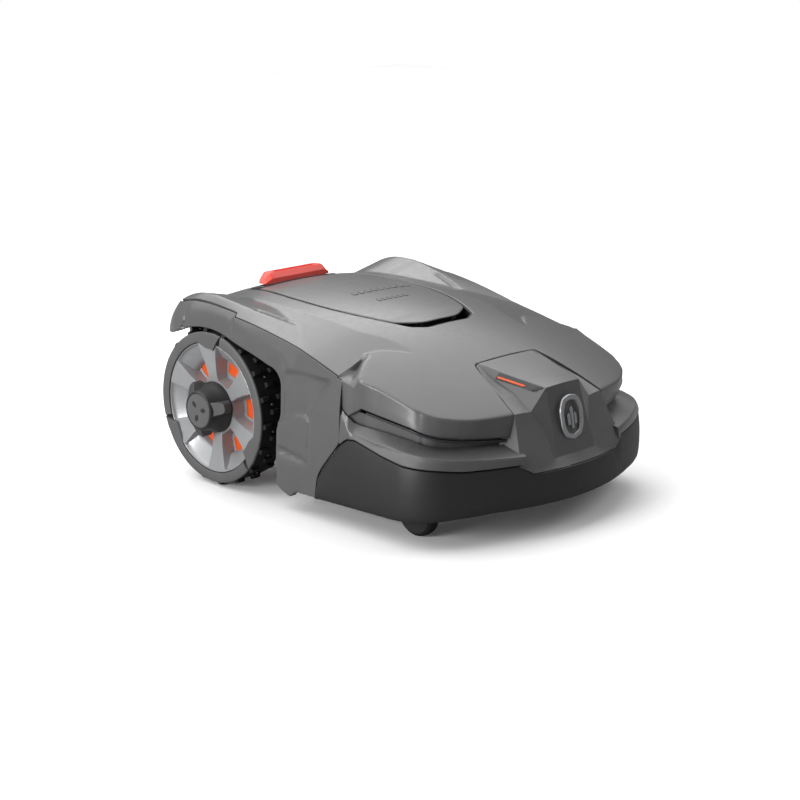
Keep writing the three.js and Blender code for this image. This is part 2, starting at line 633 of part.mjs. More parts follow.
function makeChassis() {
  const outer = prism(bothSides(TUB_OUTLINE), TUB_FLOOR_Z, TUB_RIM_Z);
  const inner = prism(bothSides(insetOutline(TUB_OUTLINE, 4)), TUB_FLOOR_Z + 4, TUB_RIM_Z + 10);
  const arm = (side) =>
    box(side > 0 ? 147 : -213, side > 0 ? 213 : -147, CASTER_Y - 17, CASTER_Y + 17, 98, 130);
  const bearing = (side) => latheZ(rod(8.3, 90, 170), 24).translate(side * CASTER_X, CASTER_Y, 0);
  const axleHole = latheX(rod(8.6, -200, 200), 24).translate(0, AXLE_Y, AXLE_Z);
  const unitHole = latheZ(rod(46, 60, 100), 40).translate(0, DISC_Y, 0);
  const motorHole = latheX(rod(33, -155, -140), 32).translate(0, AXLE_Y, AXLE_Z);
  const otherMotorHole = latheX(rod(33, 140, 155), 32).translate(0, AXLE_Y, AXLE_Z);
  const tub = cut(joined(cut(outer, inner), arm(1), arm(-1)), bearing(1), bearing(-1), axleHole, unitHole,
    motorHole, otherMotorHole);
  addMesh('chassis_tub', tub, blackPlastic());
  addMesh('chassis_lid', prism(bothSides(TUB_OUTLINE), TUB_RIM_Z + 0.4, TUB_RIM_Z + 6), darkGrey());
}

function makeElectronics() {
  const floor = TUB_FLOOR_Z + 4.3;
  const pack = joined(box(-70, 70, 72, 150, floor, floor + 66), box(-40, 40, 62, 74, floor + 20, floor + 46));
  addMesh('battery_pack', pack, darkGrey());
  const board = joined(box(-90, 90, -235, -95, floor + 8, floor + 10),
    box(-60, -20, -200, -160, floor + 9, floor + 22),
    box(10, 60, -190, -150, floor + 9, floor + 16), box(-30, 40, -225, -212, floor + 9, floor + 20),
    box(-80, -72, -230, -100, floor, floor + 9), box(72, 80, -230, -100, floor, floor + 9));
  addMesh('main_board', board, circuitGreen());
  const strip = joined(box(24, 44, -268, -262.4, 96, 150), box(24, 44, -290, -262.4, 144, 150));
  addPair('charging_contact', strip, copper);
}

function makeDrives() {
  // Built with the axle along X at the origin; the output shaft points to the wheel.
  const can = latheX([[0, -92], [29, -92], [29, -50], [32, -50], [32, 0], [0, 0]], 28);
  const flange = latheX([[0, 0], [38, 0], [38, 6], [22, 6], [22, 20], [0, 20]], 28);
  const shaft = latheX(rod(8, 18, 44), 20);
  addPair('drive_motor', joined(can, flange, shaft), darkGrey, [151, AXLE_Y, AXLE_Z]);
}

// ---------------------------------------------------------------- drive wheels
const LUG_PROFILE = [[0, TYRE_R - 1], [0.3, TYRE_R - 1], [0.36, LUG_R], [0.52, LUG_R], [0.58, TYRE_R - 1]];

function lugOutline(count) {
  const points = [];
  const pitch = 2 * Math.PI / count;
  for (let i = 0; i < count; i++) {
    for (const [part, radius] of LUG_PROFILE) {
      const turn = (i + part) * pitch;
      points.push([radius * Math.cos(turn), radius * Math.sin(turn)]);
    }
  }
  return points;
}

// x is measured from the wheel's outer face, negative inwards.
function makeWheels() {
  const at = [TYRE_OUTER_X, AXLE_Y, AXLE_Z];
  const tread = prismX(lugOutline(24), -TYRE_WIDTH, -6);
  const bore = latheX(rod(RIM_R + 1.2, -70, 10), 36);
  addPair('tyre', cut(tread, bore), rubber, at);

  const ring = latheX([[RIM_R + 1, -5.6], [TYRE_R, -5.6], [TYRE_R, -2], [TYRE_R - 4, 0], [RIM_R + 3, 0],
    [RIM_R + 1, -2], [RIM_R + 1, -5.6]], 42);
  const tabs = [0, 1, 2].map((i) => {
    const tab = prismX([[-14, RIM_R - 12], [14, RIM_R - 12], [17, RIM_R + 4], [-17, RIM_R + 4]], -5, -0.6);
    return tab.rotateX(i * 2 * Math.PI / 3 - 0.15);
  });
  addPair('tyre_ring', joined(ring, ...tabs), darkGrey, at);

  addPair('wheel_rim', wheelRim(), silver, at);
  const accent = latheX([[24, -33], [80, -33], [80, -31], [24, -31], [24, -33]], 30);
  addPair('rim_accent', accent, orange, at);
  addPair('hub_cap', hubCap(), blackPlastic, at);
  const axle = joined(latheX([[0, -60], [12, -60], [12, -34.5], [20, -34.5], [20, -30], [0, -30]], 24));
  addPair('wheel_hub', axle, darkGrey, at);
}

const SPOKES = 6;

function wheelRim() {
  const barrel = latheX(tube(RIM_R - 6, RIM_R - 0.2, -TYRE_WIDTH + 4, -6.2), 32);
  const back = latheX(tube(81, RIM_R - 2, -34, -30), 32);
  const centre = latheX(tube(21, 44, -29.5, -2), 24);
  const spokes = Array.from({ length: SPOKES }, (_, i) => {
    const inner = 11;
    const outer = 21;
    const spoke = prismX([[-inner, 30], [inner, 30], [outer, 86], [-outer, 86]], -22, -6.5);
    const foot = prismX([[-outer, 84], [outer, 84], [outer, RIM_R - 3], [-outer, RIM_R - 3]], -31, -6.5);
    return joined(spoke, foot).rotateX((i + 0.5) * 2 * Math.PI / SPOKES);
  });
  return joined(barrel, back, centre, ...spokes);
}

function hubCap() {
  const reach = HUB_X - TYRE_OUTER_X;
  const body = latheX([[0, -1.6], [38, -1.6], [37, 6], [30, reach - 3], [27, reach], [0, reach]], 24);
  const claws = [0, 1, 2].map((i) => {
    const claw = prismX([[-9, 26], [9, 26], [7, 46], [-7, 46]], -1.4, 7);
    return claw.rotateX(i * 2 * Math.PI / 3 + 0.3);
  });
  return joined(body, ...claws);
}

// ---------------------------------------------------------------- front casters
function makeCasters() {
  const side = [[-14, 80], [12, 80], [CASTER_TRAIL + 9, 44], [CASTER_TRAIL + 9, 31], [CASTER_TRAIL + 5, 26],
    [CASTER_TRAIL - 5, 26], [CASTER_TRAIL - 9, 31], [CASTER_TRAIL - 12, 46]];
  const arm = (x0, x1) => prismX(side, x0, x1);
  const bridge = box(-18, 18, -14, 12, 76, 84);
  const stem = latheZ([[0, 82], [14, 82], [14, 88], [8, 94], [8, 134], [0, 134]], 24);
  const bore = latheX(rod(4.2, -30, 30), 20).translate(0, CASTER_TRAIL, CASTER_R);
  const fork = cut(joined(arm(-18, -14.5), arm(14.5, 18), bridge, stem), bore);
  addPair('caster_fork', fork, blackPlastic, [CASTER_X, CASTER_Y, 0]);
  const w = CASTER_WIDTH / 2;
  const tyre = latheX([[4.4, -w - 0.5], [12, -w - 0.5], [14, -w + 2], [28, -w + 1],
    [CASTER_R - 3, -w + 4], [CASTER_R, -4], [CASTER_R, 4], [CASTER_R - 3, w - 4],
    [28, w - 1], [14, w - 2], [12, w + 0.5], [4.4, w + 0.5], [4.4, -w - 0.5]], 24);
  addPair('caster_wheel', tyre, rubber, [CASTER_X, CASTER_Y + CASTER_TRAIL, CASTER_R]);
  addPair('caster_axle', latheX(rod(3.9, -19, 19), 20), steel, [CASTER_X, CASTER_Y + CASTER_TRAIL, CASTER_R]);
}

// ---------------------------------------------------------------- cutting unit
function makeCuttingUnit() {
  const at = [0, DISC_Y, CUT_HEIGHT_LOW];
  const housing = latheZ([[0, 17], [38, 17], [42, 24], [42, 100], [34, 108], [0, 108]], 28);
  const neck = latheZ(rod(9, 9, 18), 20);
  const nut = box(36, 62, -12, 12, 84, 100);
  const nutBore = latheZ(rod(5.4, 70, 120), 20).translate(52, 0, 0);
  addMesh('cutting_motor', cut(joined(housing, neck, nut), nutBore), darkGrey(), at);
  const spindle = joined(latheZ(rod(5, 4.3, 96), 20), latheZ(rod(12, 78, 98), 20));
  addMesh('height_spindle', spindle, steel(), [52, DISC_Y, TUB_FLOOR_Z]);

  const disc = latheZ([[0, 2.6], [70, 2.6], [DISC_R, 0.4], [DISC_R, 2.4],
    [72, 5.2], [24, 5.2], [20, 8.6], [0, 8.6]], 36);
  const screwHoles = [0, 1, 2].map((i) => latheZ(rod(2.6, -10, 20), 12).translate(74, 0, 0)
    .rotateZ(i * 2 * Math.PI / 3));
  addMesh('blade_disc', cut(disc, ...screwHoles), blackPlastic(), at);

  for (let i = 0; i < 3; i++) {
    const blade = prism([[-5, -8], [36, -8], [36, 8], [-5, 8]], -1.4, -0.4);
    const pin = latheZ(rod(2.3, -3, 4.5), 12);
    const bladePart = addMesh(`blade_${i + 1}`, joined(blade, pin), steel());
    const turn = i * 2 * Math.PI / 3;
    bladePart.rotation.z = turn;
    bladePart.position.set(74 * Math.cos(turn), DISC_Y + 74 * Math.sin(turn), CUT_HEIGHT_LOW);
  }
  const skid = latheZ([[0, -7], [50, -7], [62, -3.4], [62, -1.8],
    [50, -3], [12, -3], [12, 2.2], [0, 2.2]], 30);
  addMesh('skid_plate', skid, blackPlastic(), at);
}

// ---------------------------------------------------------------- assembly
makeHood();
makeFrontFascia();
addPair('side_panel', sidePanel(), bodyGrey);
makeRearPanel();
addMesh('bumper', bumperWall(), blackPlastic());
makeHeadlights();
addPair('nose_lamp', lampBlock(0), lens);
makeBadgePlate();
makeHatchTray();
makeHatchCover();
makeStopButton();
makeControls();
makeCoverMount();
makeChassis();
makeElectronics();
makeDrives();
makeWheels();
makeCasters();
makeCuttingUnit();

export default mower;
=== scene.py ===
# Visual model of the robotic lawn mower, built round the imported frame. Shapes are worked out in
# millimetres in the frame's own axes (+Z up, front towards -Y) and turned into metres on the way in.
import json
import math

import bmesh
import bpy
import numpy as np
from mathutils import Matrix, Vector
from mathutils.geometry import delaunay_2d_cdt


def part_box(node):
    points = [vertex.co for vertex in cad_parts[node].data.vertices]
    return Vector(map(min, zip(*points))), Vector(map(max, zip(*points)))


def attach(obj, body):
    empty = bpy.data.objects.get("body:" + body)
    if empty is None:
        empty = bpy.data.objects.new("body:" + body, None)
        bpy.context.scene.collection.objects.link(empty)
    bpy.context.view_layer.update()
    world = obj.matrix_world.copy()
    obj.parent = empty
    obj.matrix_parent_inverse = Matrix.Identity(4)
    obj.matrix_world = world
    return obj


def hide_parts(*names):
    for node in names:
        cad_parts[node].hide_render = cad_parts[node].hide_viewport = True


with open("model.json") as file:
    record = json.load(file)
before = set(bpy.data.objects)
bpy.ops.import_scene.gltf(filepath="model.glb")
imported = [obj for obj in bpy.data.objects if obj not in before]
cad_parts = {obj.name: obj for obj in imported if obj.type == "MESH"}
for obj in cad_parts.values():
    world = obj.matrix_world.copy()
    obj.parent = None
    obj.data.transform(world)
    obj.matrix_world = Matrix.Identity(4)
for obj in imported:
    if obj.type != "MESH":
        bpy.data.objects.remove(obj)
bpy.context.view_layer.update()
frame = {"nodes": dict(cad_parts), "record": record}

MM = 0.001


def node_box(node):
    low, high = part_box(node)
    return low / MM, high / MM


# ---------------------------------------------------------------- driving sizes
HALF_WIDTH = node_box("side_panel_left")[1].x
HALF_LENGTH = node_box("rear_panel")[1].y
TYRE_LOW, TYRE_HIGH = node_box("tyre_left")
AXLE_Y = (TYRE_LOW.y + TYRE_HIGH.y) / 2
AXLE_Z = (TYRE_LOW.z + TYRE_HIGH.z) / 2
WHEEL_FACE_X = node_box("tyre_ring_left")[1].x
HUB_REACH = node_box("hub_cap_left")[1].x - WHEEL_FACE_X
LUG_R = (TYRE_HIGH.z - TYRE_LOW.z) / 2
TYRE_R = LUG_R - 5
NOSE_Y = 1.5 - HALF_LENGTH
NOSE_BOW = 720
FRONT_CORNER_R = 75
REAR_CORNER_R = 82
SEAM_GAP = 0.4
SEAM_SET_BACK = 2.8
SIDES = (("left", False), ("right", True))
UPWARD = Vector((0, 0, 1))
DOWNWARD = Vector((0, 0, -1))


# ---------------------------------------------------------------- body surface
def clamp01(t):
    return min(1.0, max(0.0, t))


def smooth(t):
    t = clamp01(t)
    return t * t * (3 - 2 * t)


def lerp(a, b, t):
    return a + (b - a) * t


def ramp(pairs, at):
    if at <= pairs[0][0]:
        return pairs[0][1]
    for (x0, v0), (x1, v1) in zip(pairs, pairs[1:]):
        if at <= x1:
            return lerp(v0, v1, (at - x0) / (x1 - x0))
    return pairs[-1][1]


# The larger of two heights, blended over where they differ by less than k.
def soft_max(a, b, k):
    return max(a, b) + max(0.0, k - abs(a - b)) ** 2 / (4 * k)


# Values from low towards high in count equal steps, without high itself.
def evenly(low, high, count):
    return [lerp(low, high, i / count) for i in range(count)]


# The deck: highest over the axle, falling slowly to the nose and faster to the tail.
DECK_TOP_Z = 294
DECK_CAMBER = 4.7e-4


def crown(x, y):
    back = y - AXLE_Y
    middle = DECK_TOP_Z - DECK_CAMBER * x * x
    if back > 0:
        return middle - 1.2e-3 * back * back
    return middle - 2.1e-4 * back * back - 4.3e-7 * abs(back) ** 3


# |x| of the line where the deck bends down into the waist.
def deck_edge(y):
    return 146 - 20 * smooth((-10 - y) / 80)


# Step where the waist rises to the wing again, as y over |x|.
WING_EDGE = [(126, -125), (147, -99), (163, -83), (181, -79), (205, -81), (250, -90)]
WING_STEP = 9
WAIST_SLOPE = 0.235


# Groove behind the wing, running out and down to the hood's seam: the lines of its rear ridge, its
# floor and its front edge as y over |x|, and its depth below the ridge.
GROOVE_START = 181
GROOVE_RIDGE = [(181, -74.5), (190, -79), (215, -84), (257, -88)]
GROOVE_FLOOR = [(181, -75.5), (190, -81), (215, -88.5), (250, -95), (257, -96)]
GROOVE_FRONT = [(181, -83.5), (190, -87), (197, -90), (214, -99), (229, -109), (238, -117), (245, -131),
                (257, -150)]
GROOVE_DEPTH = [(181, 0), (190, 3), (215, 16), (250, 34), (257, 36)]


def waist_slope(side, y):
    edge = deck_edge(y)
    return crown(edge, y) - WAIST_SLOPE * (side - edge)


def waist(x, y):
    side = abs(x)
    if side <= deck_edge(y):
        return crown(x, y)
    slope = waist_slope(side, y)
    if side < GROOVE_START:
        return lerp(slope, crown(x, y), smooth((ramp(WING_EDGE, side) - y) / WING_STEP + 0.5))
    ridge = ramp(GROOVE_RIDGE, side)
    if y >= ridge:
        return slope
    floor_y = ramp(GROOVE_FLOOR, side)
    floor = waist_slope(side, ridge) - ramp(GROOVE_DEPTH, side)
    if y >= floor_y:
        return lerp(slope, floor, smooth((ridge - y) / (ridge - floor_y)))
    rise = clamp01((floor_y - y) / (floor_y - ramp(GROOVE_FRONT, side)))
    return lerp(floor, crown(x, y), rise * rise * (2.2 - 1.2 * rise))


# The fender: its crest runs forward and inward; outside it the top leans to the seam, inside it a
# shallow flank with a narrow dent falls to the waist.
FENDER_CREST = [(20, 178), (64, 187), (139, 208), (200, 215)]
FENDER_FLANK = [(135, 0.12), (200, 0.22)]
FENDER_SEAM_X = 243
FENDER_TOP_Z = 299
FENDER_SEAM_Z = 282.6
FENDER_DENT = 2.4


def fender(x, y):
    rear = 4.5e-3 * max(0, y - AXLE_Y - 45) ** 2
    crest = FENDER_TOP_Z - 0.0625 * max(0, AXLE_Y + 25 - y) ** 1.215 - rear
    inside = ramp(FENDER_CREST, y) - abs(x)
    if inside > 0:
        dent = FENDER_DENT * smooth((inside - 3) / 3) * smooth((13 - inside) / 5)
        dent *= smooth((y - 70) / 14) * smooth((152 - y) / 14)
        return crest - ramp(FENDER_FLANK, y) * inside - dent
    seam = FENDER_SEAM_Z - 0.02215 * max(0, AXLE_Y - 25 - y) ** 1.4 - rear
    share = -inside / (FENDER_SEAM_X - ramp(FENDER_CREST, y))
    return lerp(crest, seam, share ** 1.6)


def hood_height(x, y):
    return soft_max(waist(x, y), fender(x, y), 1.5)


# ---------------------------------------------------------------- plan outline
# The outline is run by s, the distance from the middle of the nose: a bowed front, a round corner,
# a straight side and a round rear corner that ends at S_TAIL.
CORNER_X = HALF_WIDTH - FRONT_CORNER_R
BOW_END_X = 221.5
BOW_END_TURN = math.atan(2 * BOW_END_X / NOSE_BOW)
CORNER_Y = NOSE_Y + BOW_END_X ** 2 / NOSE_BOW + FRONT_CORNER_R * math.cos(BOW_END_TURN)
REAR_CORNER_Y = HALF_LENGTH - REAR_CORNER_R


def bow_length(x):
    m = 2 * x / NOSE_BOW
    return NOSE_BOW / 4 * (m * math.hypot(1, m) + math.asinh(m))


S_CORNER = bow_length(BOW_END_X)
S_SIDE = S_CORNER + FRONT_CORNER_R * (math.pi / 2 - BOW_END_TURN)
S_REAR = S_SIDE + REAR_CORNER_Y - CORNER_Y
S_TAIL = S_REAR + REAR_CORNER_R * math.pi / 2


def side_s(y):
    return S_SIDE + y - CORNER_Y


# x, y and the outward normal of the outline at s.
def outline_at(s):
    if s < S_CORNER:
        x = s
        for _ in range(4):
            x -= (bow_length(x) - s) / math.hypot(1, 2 * x / NOSE_BOW)
        turn = math.atan(2 * x / NOSE_BOW)
        return x, NOSE_Y + x * x / NOSE_BOW, math.sin(turn), -math.cos(turn)
    if s < S_SIDE:
        turn = BOW_END_TURN + (s - S_CORNER) / FRONT_CORNER_R
        nx, ny = math.sin(turn), -math.cos(turn)
        return CORNER_X + FRONT_CORNER_R * nx, CORNER_Y + FRONT_CORNER_R * ny, nx, ny
    if s < S_REAR:
        return HALF_WIDTH, CORNER_Y + s - S_SIDE, 1.0, 0.0
    turn = min(math.pi / 2, (s - S_REAR) / REAR_CORNER_R)
    nx, ny = math.cos(turn), math.sin(turn)
    past = max(0.0, s - S_TAIL)
    return HALF_WIDTH - REAR_CORNER_R * (1 - nx) - past, REAR_CORNER_Y + REAR_CORNER_R * ny, nx, ny


def outline_point(s, inset, z):
    x, y, nx, ny = outline_at(s)
    return Vector((x - nx * inset, y - ny * inset, z))


# Tables over s of the front: the lip of the hood, the ledge and the slit below it, the seams and bends.
LIP_START = 110.2
LIP_KINK = side_s(-130)
LIP_TIP = side_s(-110)
LIP_END = side_s(-96)
BAND_END = side_s(-98)
LIP_TOP_INSET = [(109, 33), (180, 24), (209, 24), (258, 30), (285, 31), (LIP_KINK - 28, 20), (LIP_KINK, 12),
                 (LIP_END, 7)]
LIP_FOOT_INSET = [(109, 33), (198, 31), (306, 24), (LIP_KINK, 14), (LIP_TIP, 7), (LIP_END, 7)]
LIP_FOOT_Z = [(109, 151), (198, 157), (306, 175), (LIP_KINK, 188), (LIP_TIP, 175), (LIP_END, 184)]
LEDGE_Z = [(109, 129), (190, 133), (223, 135), (285, 140), (362, 145), (side_s(-124), 153),
           (side_s(-114), 158),
           (side_s(-107), 169), (BAND_END, 177)]
LEDGE_INSET = [(109, 3), (223, 3), (285, 10), (362, 10), (side_s(-124), 5), (side_s(-114), 1),
               (side_s(-107), 3.2),
               (BAND_END, 4.4)]
SLIT_INSET = [(109, 42), (200, 44), (300, 42), (362, 30), (LIP_KINK, 18), (LIP_TIP, 8), (BAND_END, 7)]
SLIT_Z = [(109, 139), (200, 140), (300, 148), (362, 156), (LIP_KINK, 161), (side_s(-118), 165),
          (LIP_TIP, 172.5), (BAND_END, 182.5)]
BAND_FOOT_INSET = [(side_s(-130), 1.0), (BAND_END, 0.15)]
BAND_BULGE = [(side_s(-130), 0.7), (BAND_END, 0.4)]
BUMPER_END = side_s(-45)
BUMPER_TOP = [(0, 100), (94, 100), (117, 115), (209, 115), (245, 119), (300, 122), (343, 128),
              (side_s(-130), 140), (side_s(-114), 139), (side_s(-107), 135), (side_s(-94), 125),
              (side_s(-60), 85), (side_s(-50), 70), (BUMPER_END, 42)]
BUMPER_FOOT = [(0, 50), (156, 50), (230, 45), (326, 38), (BUMPER_END, 33)]
SEAM_INSET = [(LIP_END, 7), (side_s(-88), 7), (side_s(-50), 11), (side_s(6), 17), (side_s(74), 14.5),
              (side_s(148), 12), (side_s(156), 22), (S_REAR, 22), (S_TAIL, 16)]
BEND_Z = [(side_s(-90), 150), (side_s(10), 170), (side_s(120), 235), (side_s(260), 240), (S_REAR, 230),
          (S_TAIL, 225)]


def seam_height(s):
    at = outline_point(s, ramp(SEAM_INSET, s), 0)
    return hood_height(at.x, at.y)


# The pillar ahead of the wheel: its rear half sinks in behind a soft crease, with a raised pad below.
PILLAR_CREASE = [(86, -34), (113, -34), (147, -36), (172, -45), (206, -69), (223, -92)]
PILLAR_TOP = [(-92, 223), (-75, 224), (-7, 226), (40, 222)]
PILLAR_DEPTH = [(0, 0), (3, 0.8), (14, 7), (22, 8), (60, 6)]
PAD_OUTLINE = [(40, 137), (30, 141), (0, 154), (-18, 157), (-31, 152), (-30, 130), (-27, 107), (-31, 84),
               (-10, 90), (40, 100)]
PAD_RELIEF = 0.5
# The wheel arch's edge, and how deep the band along it lies.
ARCH_EDGE = [(43, 150), (41, 198), (52, 214), (94, 228), (136, 238), (180, 251), (220, 254), (260, 248),
             (297, 232), (345, 226)]
ARCH_BAND = 34
ARCH_DEPTH = [(30, 11), (70, 6), (200, 6), (290, 3)]


def line_distance(point, line):
    p = Vector(point)
    gaps = []
    for a, b in zip(line, line[1:]):
        a = Vector(a)
        run = Vector(b) - a
        t = clamp01((p - a).dot(run) / run.length_squared)
        gaps.append((p - a - run * t).length)
    return min(gaps)


def in_polygon(point, polygon):
    x, y = point
    inside = False
    for (x0, y0), (x1, y1) in zip(polygon, polygon[1:] + polygon[:1]):
        if (y0 > y) != (y1 > y) and x < x0 + (x1 - x0) * (y - y0) / (y1 - y0):
            inside = not inside
    return inside


# Distance to the polygon's edge, positive inside it.
def polygon_distance(point, polygon):
    gap = line_distance(point, polygon + polygon[:1])
    return gap if in_polygon(point, polygon) else -gap


def pillar_relief(y, z):
    sunk = ramp(PILLAR_DEPTH, y - ramp(PILLAR_CREASE, z))
    sunk *= smooth((ramp(PILLAR_TOP, y) - z) / 12) * smooth((z - 78) / 14) * smooth((50 - y) / 28)
    edge = min(line_distance((y, z), ARCH_EDGE), ARCH_BAND)
    sunk = max(sunk, ramp(ARCH_DEPTH, y) * smooth(1 - edge / ARCH_BAND))
    pad = smooth((polygon_distance((y, z), PAD_OUTLINE) + 3) / 6)
    return lerp(sunk, PAD_RELIEF, pad)


def side_point(s, z):
    bend = ramp(BEND_Z, s)
    rise = clamp01((z - bend) / (seam_height(s) - bend))
    inset = ramp(SEAM_INSET, s) * rise * rise
    if s < S_REAR:
        inset += pillar_relief(s - S_SIDE + CORNER_Y, z)
    return outline_point(s, inset, z)


# ---------------------------------------------------------------- materials
def principled(name, **sockets):
    material = bpy.data.materials.new(name)
    material.use_nodes = True
    shader = material.node_tree.nodes["Principled BSDF"]
    for socket, value in sockets.items():
        shader.inputs[socket.replace("_", " ")].default_value = value
    return material, material.node_tree, shader


def linear(red, green, blue):
    def channel(value):
        value /= 255
        return value / 12.92 if value <= 0.04045 else ((value + 0.055) / 1.055) ** 2.4
    return channel(red), channel(green), channel(blue), 1.0


def add_noise(tree, scale, detail):
    place = tree.nodes.get("place") or tree.nodes.new("ShaderNodeTexCoord")
    place.name = "place"
    noise = tree.nodes.new("ShaderNodeTexNoise")
    noise.inputs["Scale"].default_value = scale
    noise.inputs["Detail"].default_value = detail
    tree.links.new(place.outputs["Object"], noise.inputs["Vector"])
    return noise.outputs["Fac"]


def spread_range(tree, value, low, high):
    node = tree.nodes.new("ShaderNodeMapRange")
    node.inputs["From Min"].default_value = 0.3
    node.inputs["From Max"].default_value = 0.7
    node.inputs["To Min"].default_value = low
    node.inputs["To Max"].default_value = high
    tree.links.new(value, node.inputs["Value"])
    return node.outputs["Result"]


def tint(tree, socket, value, dark, light):
    mix = tree.nodes.new("ShaderNodeMix")
    mix.data_type = "RGBA"
    mix.inputs["A"].default_value = dark
    mix.inputs["B"].default_value = light
    tree.links.new(value, mix.inputs["Factor"])
    tree.links.new(mix.outputs["Result"], socket)


def bump(tree, shader, value, strength, distance):
    node = tree.nodes.new("ShaderNodeBump")
    node.inputs["Strength"].default_value = strength
    node.inputs["Distance"].default_value = distance
    tree.links.new(value, node.inputs["Height"])
    tree.links.new(node.outputs["Normal"], shader.inputs["Normal"])


# A faint cloudiness of the colour, uneven gloss and a fine grain. Each noise is (scale, detail).
def textured(name, rgb, roughness, shades, cloud, gloss, gloss_spread, grain, depth, **sockets):
    material, tree, shader = principled(name, **sockets)
    dark, light = (tuple(c * shade for c in linear(*rgb)[:3]) + (1,) for shade in shades)
    tint(tree, shader.inputs["Base Color"], spread_range(tree, add_noise(tree, *cloud), 0, 1), dark, light)
    rough = spread_range(tree, add_noise(tree, *gloss), roughness - gloss_spread, roughness + gloss_spread)
    tree.links.new(rough, shader.inputs["Roughness"])
    bump(tree, shader, add_noise(tree, grain, 2), depth, 0.0002)
    return material


def moulded(name, rgb, roughness, grain=1400, depth=0.12, spread=0.06, **sockets):
    shades = (1 - spread, 1 + spread)
    return textured(name, rgb, roughness, shades, (26, 3), (120, 5), 0.04, grain, depth, **sockets)


def brushed(name, rgb, roughness, metallic):
    return textured(name, rgb, roughness, (0.93, 1), (60, 4), (300, 4), 0.06, 900, 0.08, Metallic=metallic)


BODY = moulded("body_paint", (88, 88, 89), 0.34, grain=1700, depth=0.05, spread=0.03, Specular_IOR_Level=0.4,
               Coat_Weight=0.15, Coat_Roughness=0.25)
RING = moulded("ring_grey", (86, 86, 87), 0.5)
DARK = moulded("dark_plastic", (62, 62, 64), 0.48)
BLACK = moulded("black_plastic", (34, 34, 35), 0.5, depth=0.2)
RUBBER = moulded("tyre_rubber", (20, 20, 21), 0.75, grain=700, depth=0.35, spread=0.12)
CASTER_RUBBER = moulded("caster_rubber", (26, 26, 27), 0.7, grain=800, depth=0.3, spread=0.1)
ORANGE = moulded("orange_plastic", (222, 84, 22), 0.42)
RED = moulded("red_plastic", (236, 84, 74), 0.4, depth=0.08)
SILVER = brushed("silver_paint", (160, 161, 163), 0.36, 0.35)
STEEL = brushed("bright_steel", (190, 192, 195), 0.28, 1.0)
# Dark steel for the hatch pin only: painted shade, standing in for the shade of the hinge channel that the
# pin lies in.
PIN_PAINTED_SHADE = brushed("pin_steel_painted_shade", (24, 24, 25), 0.6, 0.4)
COPPER = brushed("contact_copper", (200, 140, 105), 0.3, 1.0)
LENS = moulded("smoked_lens", (13, 14, 16), 0.3, depth=0.02, Coat_Weight=0.2, Coat_Roughness=0.05)
LENS_BAR = moulded("frosted_lens", (46, 47, 50), 0.35, depth=0.05, Coat_Weight=0.2, Coat_Roughness=0.1)
CIRCUIT = moulded("circuit_board", (34, 96, 58), 0.45, grain=300, depth=0.3)
SLOT_MATERIALS = {"body_grey": BODY, "dark_grey": DARK, "black_plastic": BLACK, "rubber": RUBBER,
                  "caster_rubber": CASTER_RUBBER, "orange": ORANGE, "red": RED, "silver": SILVER,
                  "steel": STEEL, "contact_metal": COPPER, "lens": LENS, "circuit": CIRCUIT}


# ---------------------------------------------------------------- mesh helpers
def make_piece(name, points, faces, material, body, slot, replaces=(), sharp=32, mirror=False, wall=0.0):
    mesh = bpy.data.meshes.new(name)
    points = [Vector(p) for p in points]
    if mirror:
        points = [Vector((-p.x, p.y, p.z)) for p in points]
        faces = [tuple(reversed(face)) for face in faces]
    mesh.from_pydata([p * MM for p in points], [], faces)
    tidy = bmesh.new()
    tidy.from_mesh(mesh)
    bmesh.ops.remove_doubles(tidy, verts=tidy.verts, dist=2e-5)
    bmesh.ops.dissolve_degenerate(tidy, edges=tidy.edges, dist=1e-6)
    tidy.to_mesh(mesh)
    tidy.free()
    finish_piece(name, mesh, material, body, slot, replaces, sharp, wall)


def finish_piece(name, mesh, material, body, slot, replaces=(), sharp=32, wall=0.0):
    mesh.polygons.foreach_set("use_smooth", [True] * len(mesh.polygons))
    mesh.set_sharp_from_angle(angle=math.radians(sharp))
    mesh.materials.append(material)
    piece = bpy.data.objects.new(name, mesh)
    bpy.context.scene.collection.objects.link(piece)
    if wall:
        shell = piece.modifiers.new("wall", "SOLIDIFY")
        shell.thickness = wall * MM
        shell.offset = -1
    weighted = piece.modifiers.new("normals", "WEIGHTED_NORMAL")
    weighted.keep_sharp = True
    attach(piece, body)
    if replaces:
        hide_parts(*replaces)


# Faces of a grid of points given row by row; close joins the last column to the first.
def grid_faces(rows, cols, close=False):
    faces = []
    for i in range(rows - 1):
        for j in range(cols if close else cols - 1):
            k = (j + 1) % cols
            faces.append((i * cols + j, i * cols + k, (i + 1) * cols + k, (i + 1) * cols + j))
    return faces


# Points and faces of a body swept through rows of points, with a cap at each end.
def capped(rows, close=False):
    cols = len(rows[0])
    last = (len(rows) - 1) * cols
    faces = grid_faces(len(rows), cols, close)
    faces += [tuple(range(cols)), tuple(reversed(range(last, last + cols)))]
    return [p for row in rows for p in row], faces


# A mesh whose edges are rounded where they turn by more than the angle; an open one is triangulated.
def bevelled(name, points, faces, angle, radius, segments, closed=True):
    mesh = bpy.data.meshes.new(name)
    mesh.from_pydata([p * MM for p in points], [], faces)
    block = bmesh.new()
    block.from_mesh(mesh)
    bmesh.ops.remove_doubles(block, verts=block.verts, dist=2e-5)
    if closed:
        bmesh.ops.recalc_face_normals(block, faces=block.faces)
    ridges = [e for e in block.edges if len(e.link_faces) == 2 and e.calc_face_angle() > math.radians(angle)]
    bmesh.ops.bevel(block, geom=ridges, offset=radius * MM, segments=segments, profile=0.5, affect="EDGES",
                    clamp_overlap=True)
    if not closed:
        bmesh.ops.triangulate(block, faces=block.faces)
    block.to_mesh(mesh)
    block.free()
    return mesh


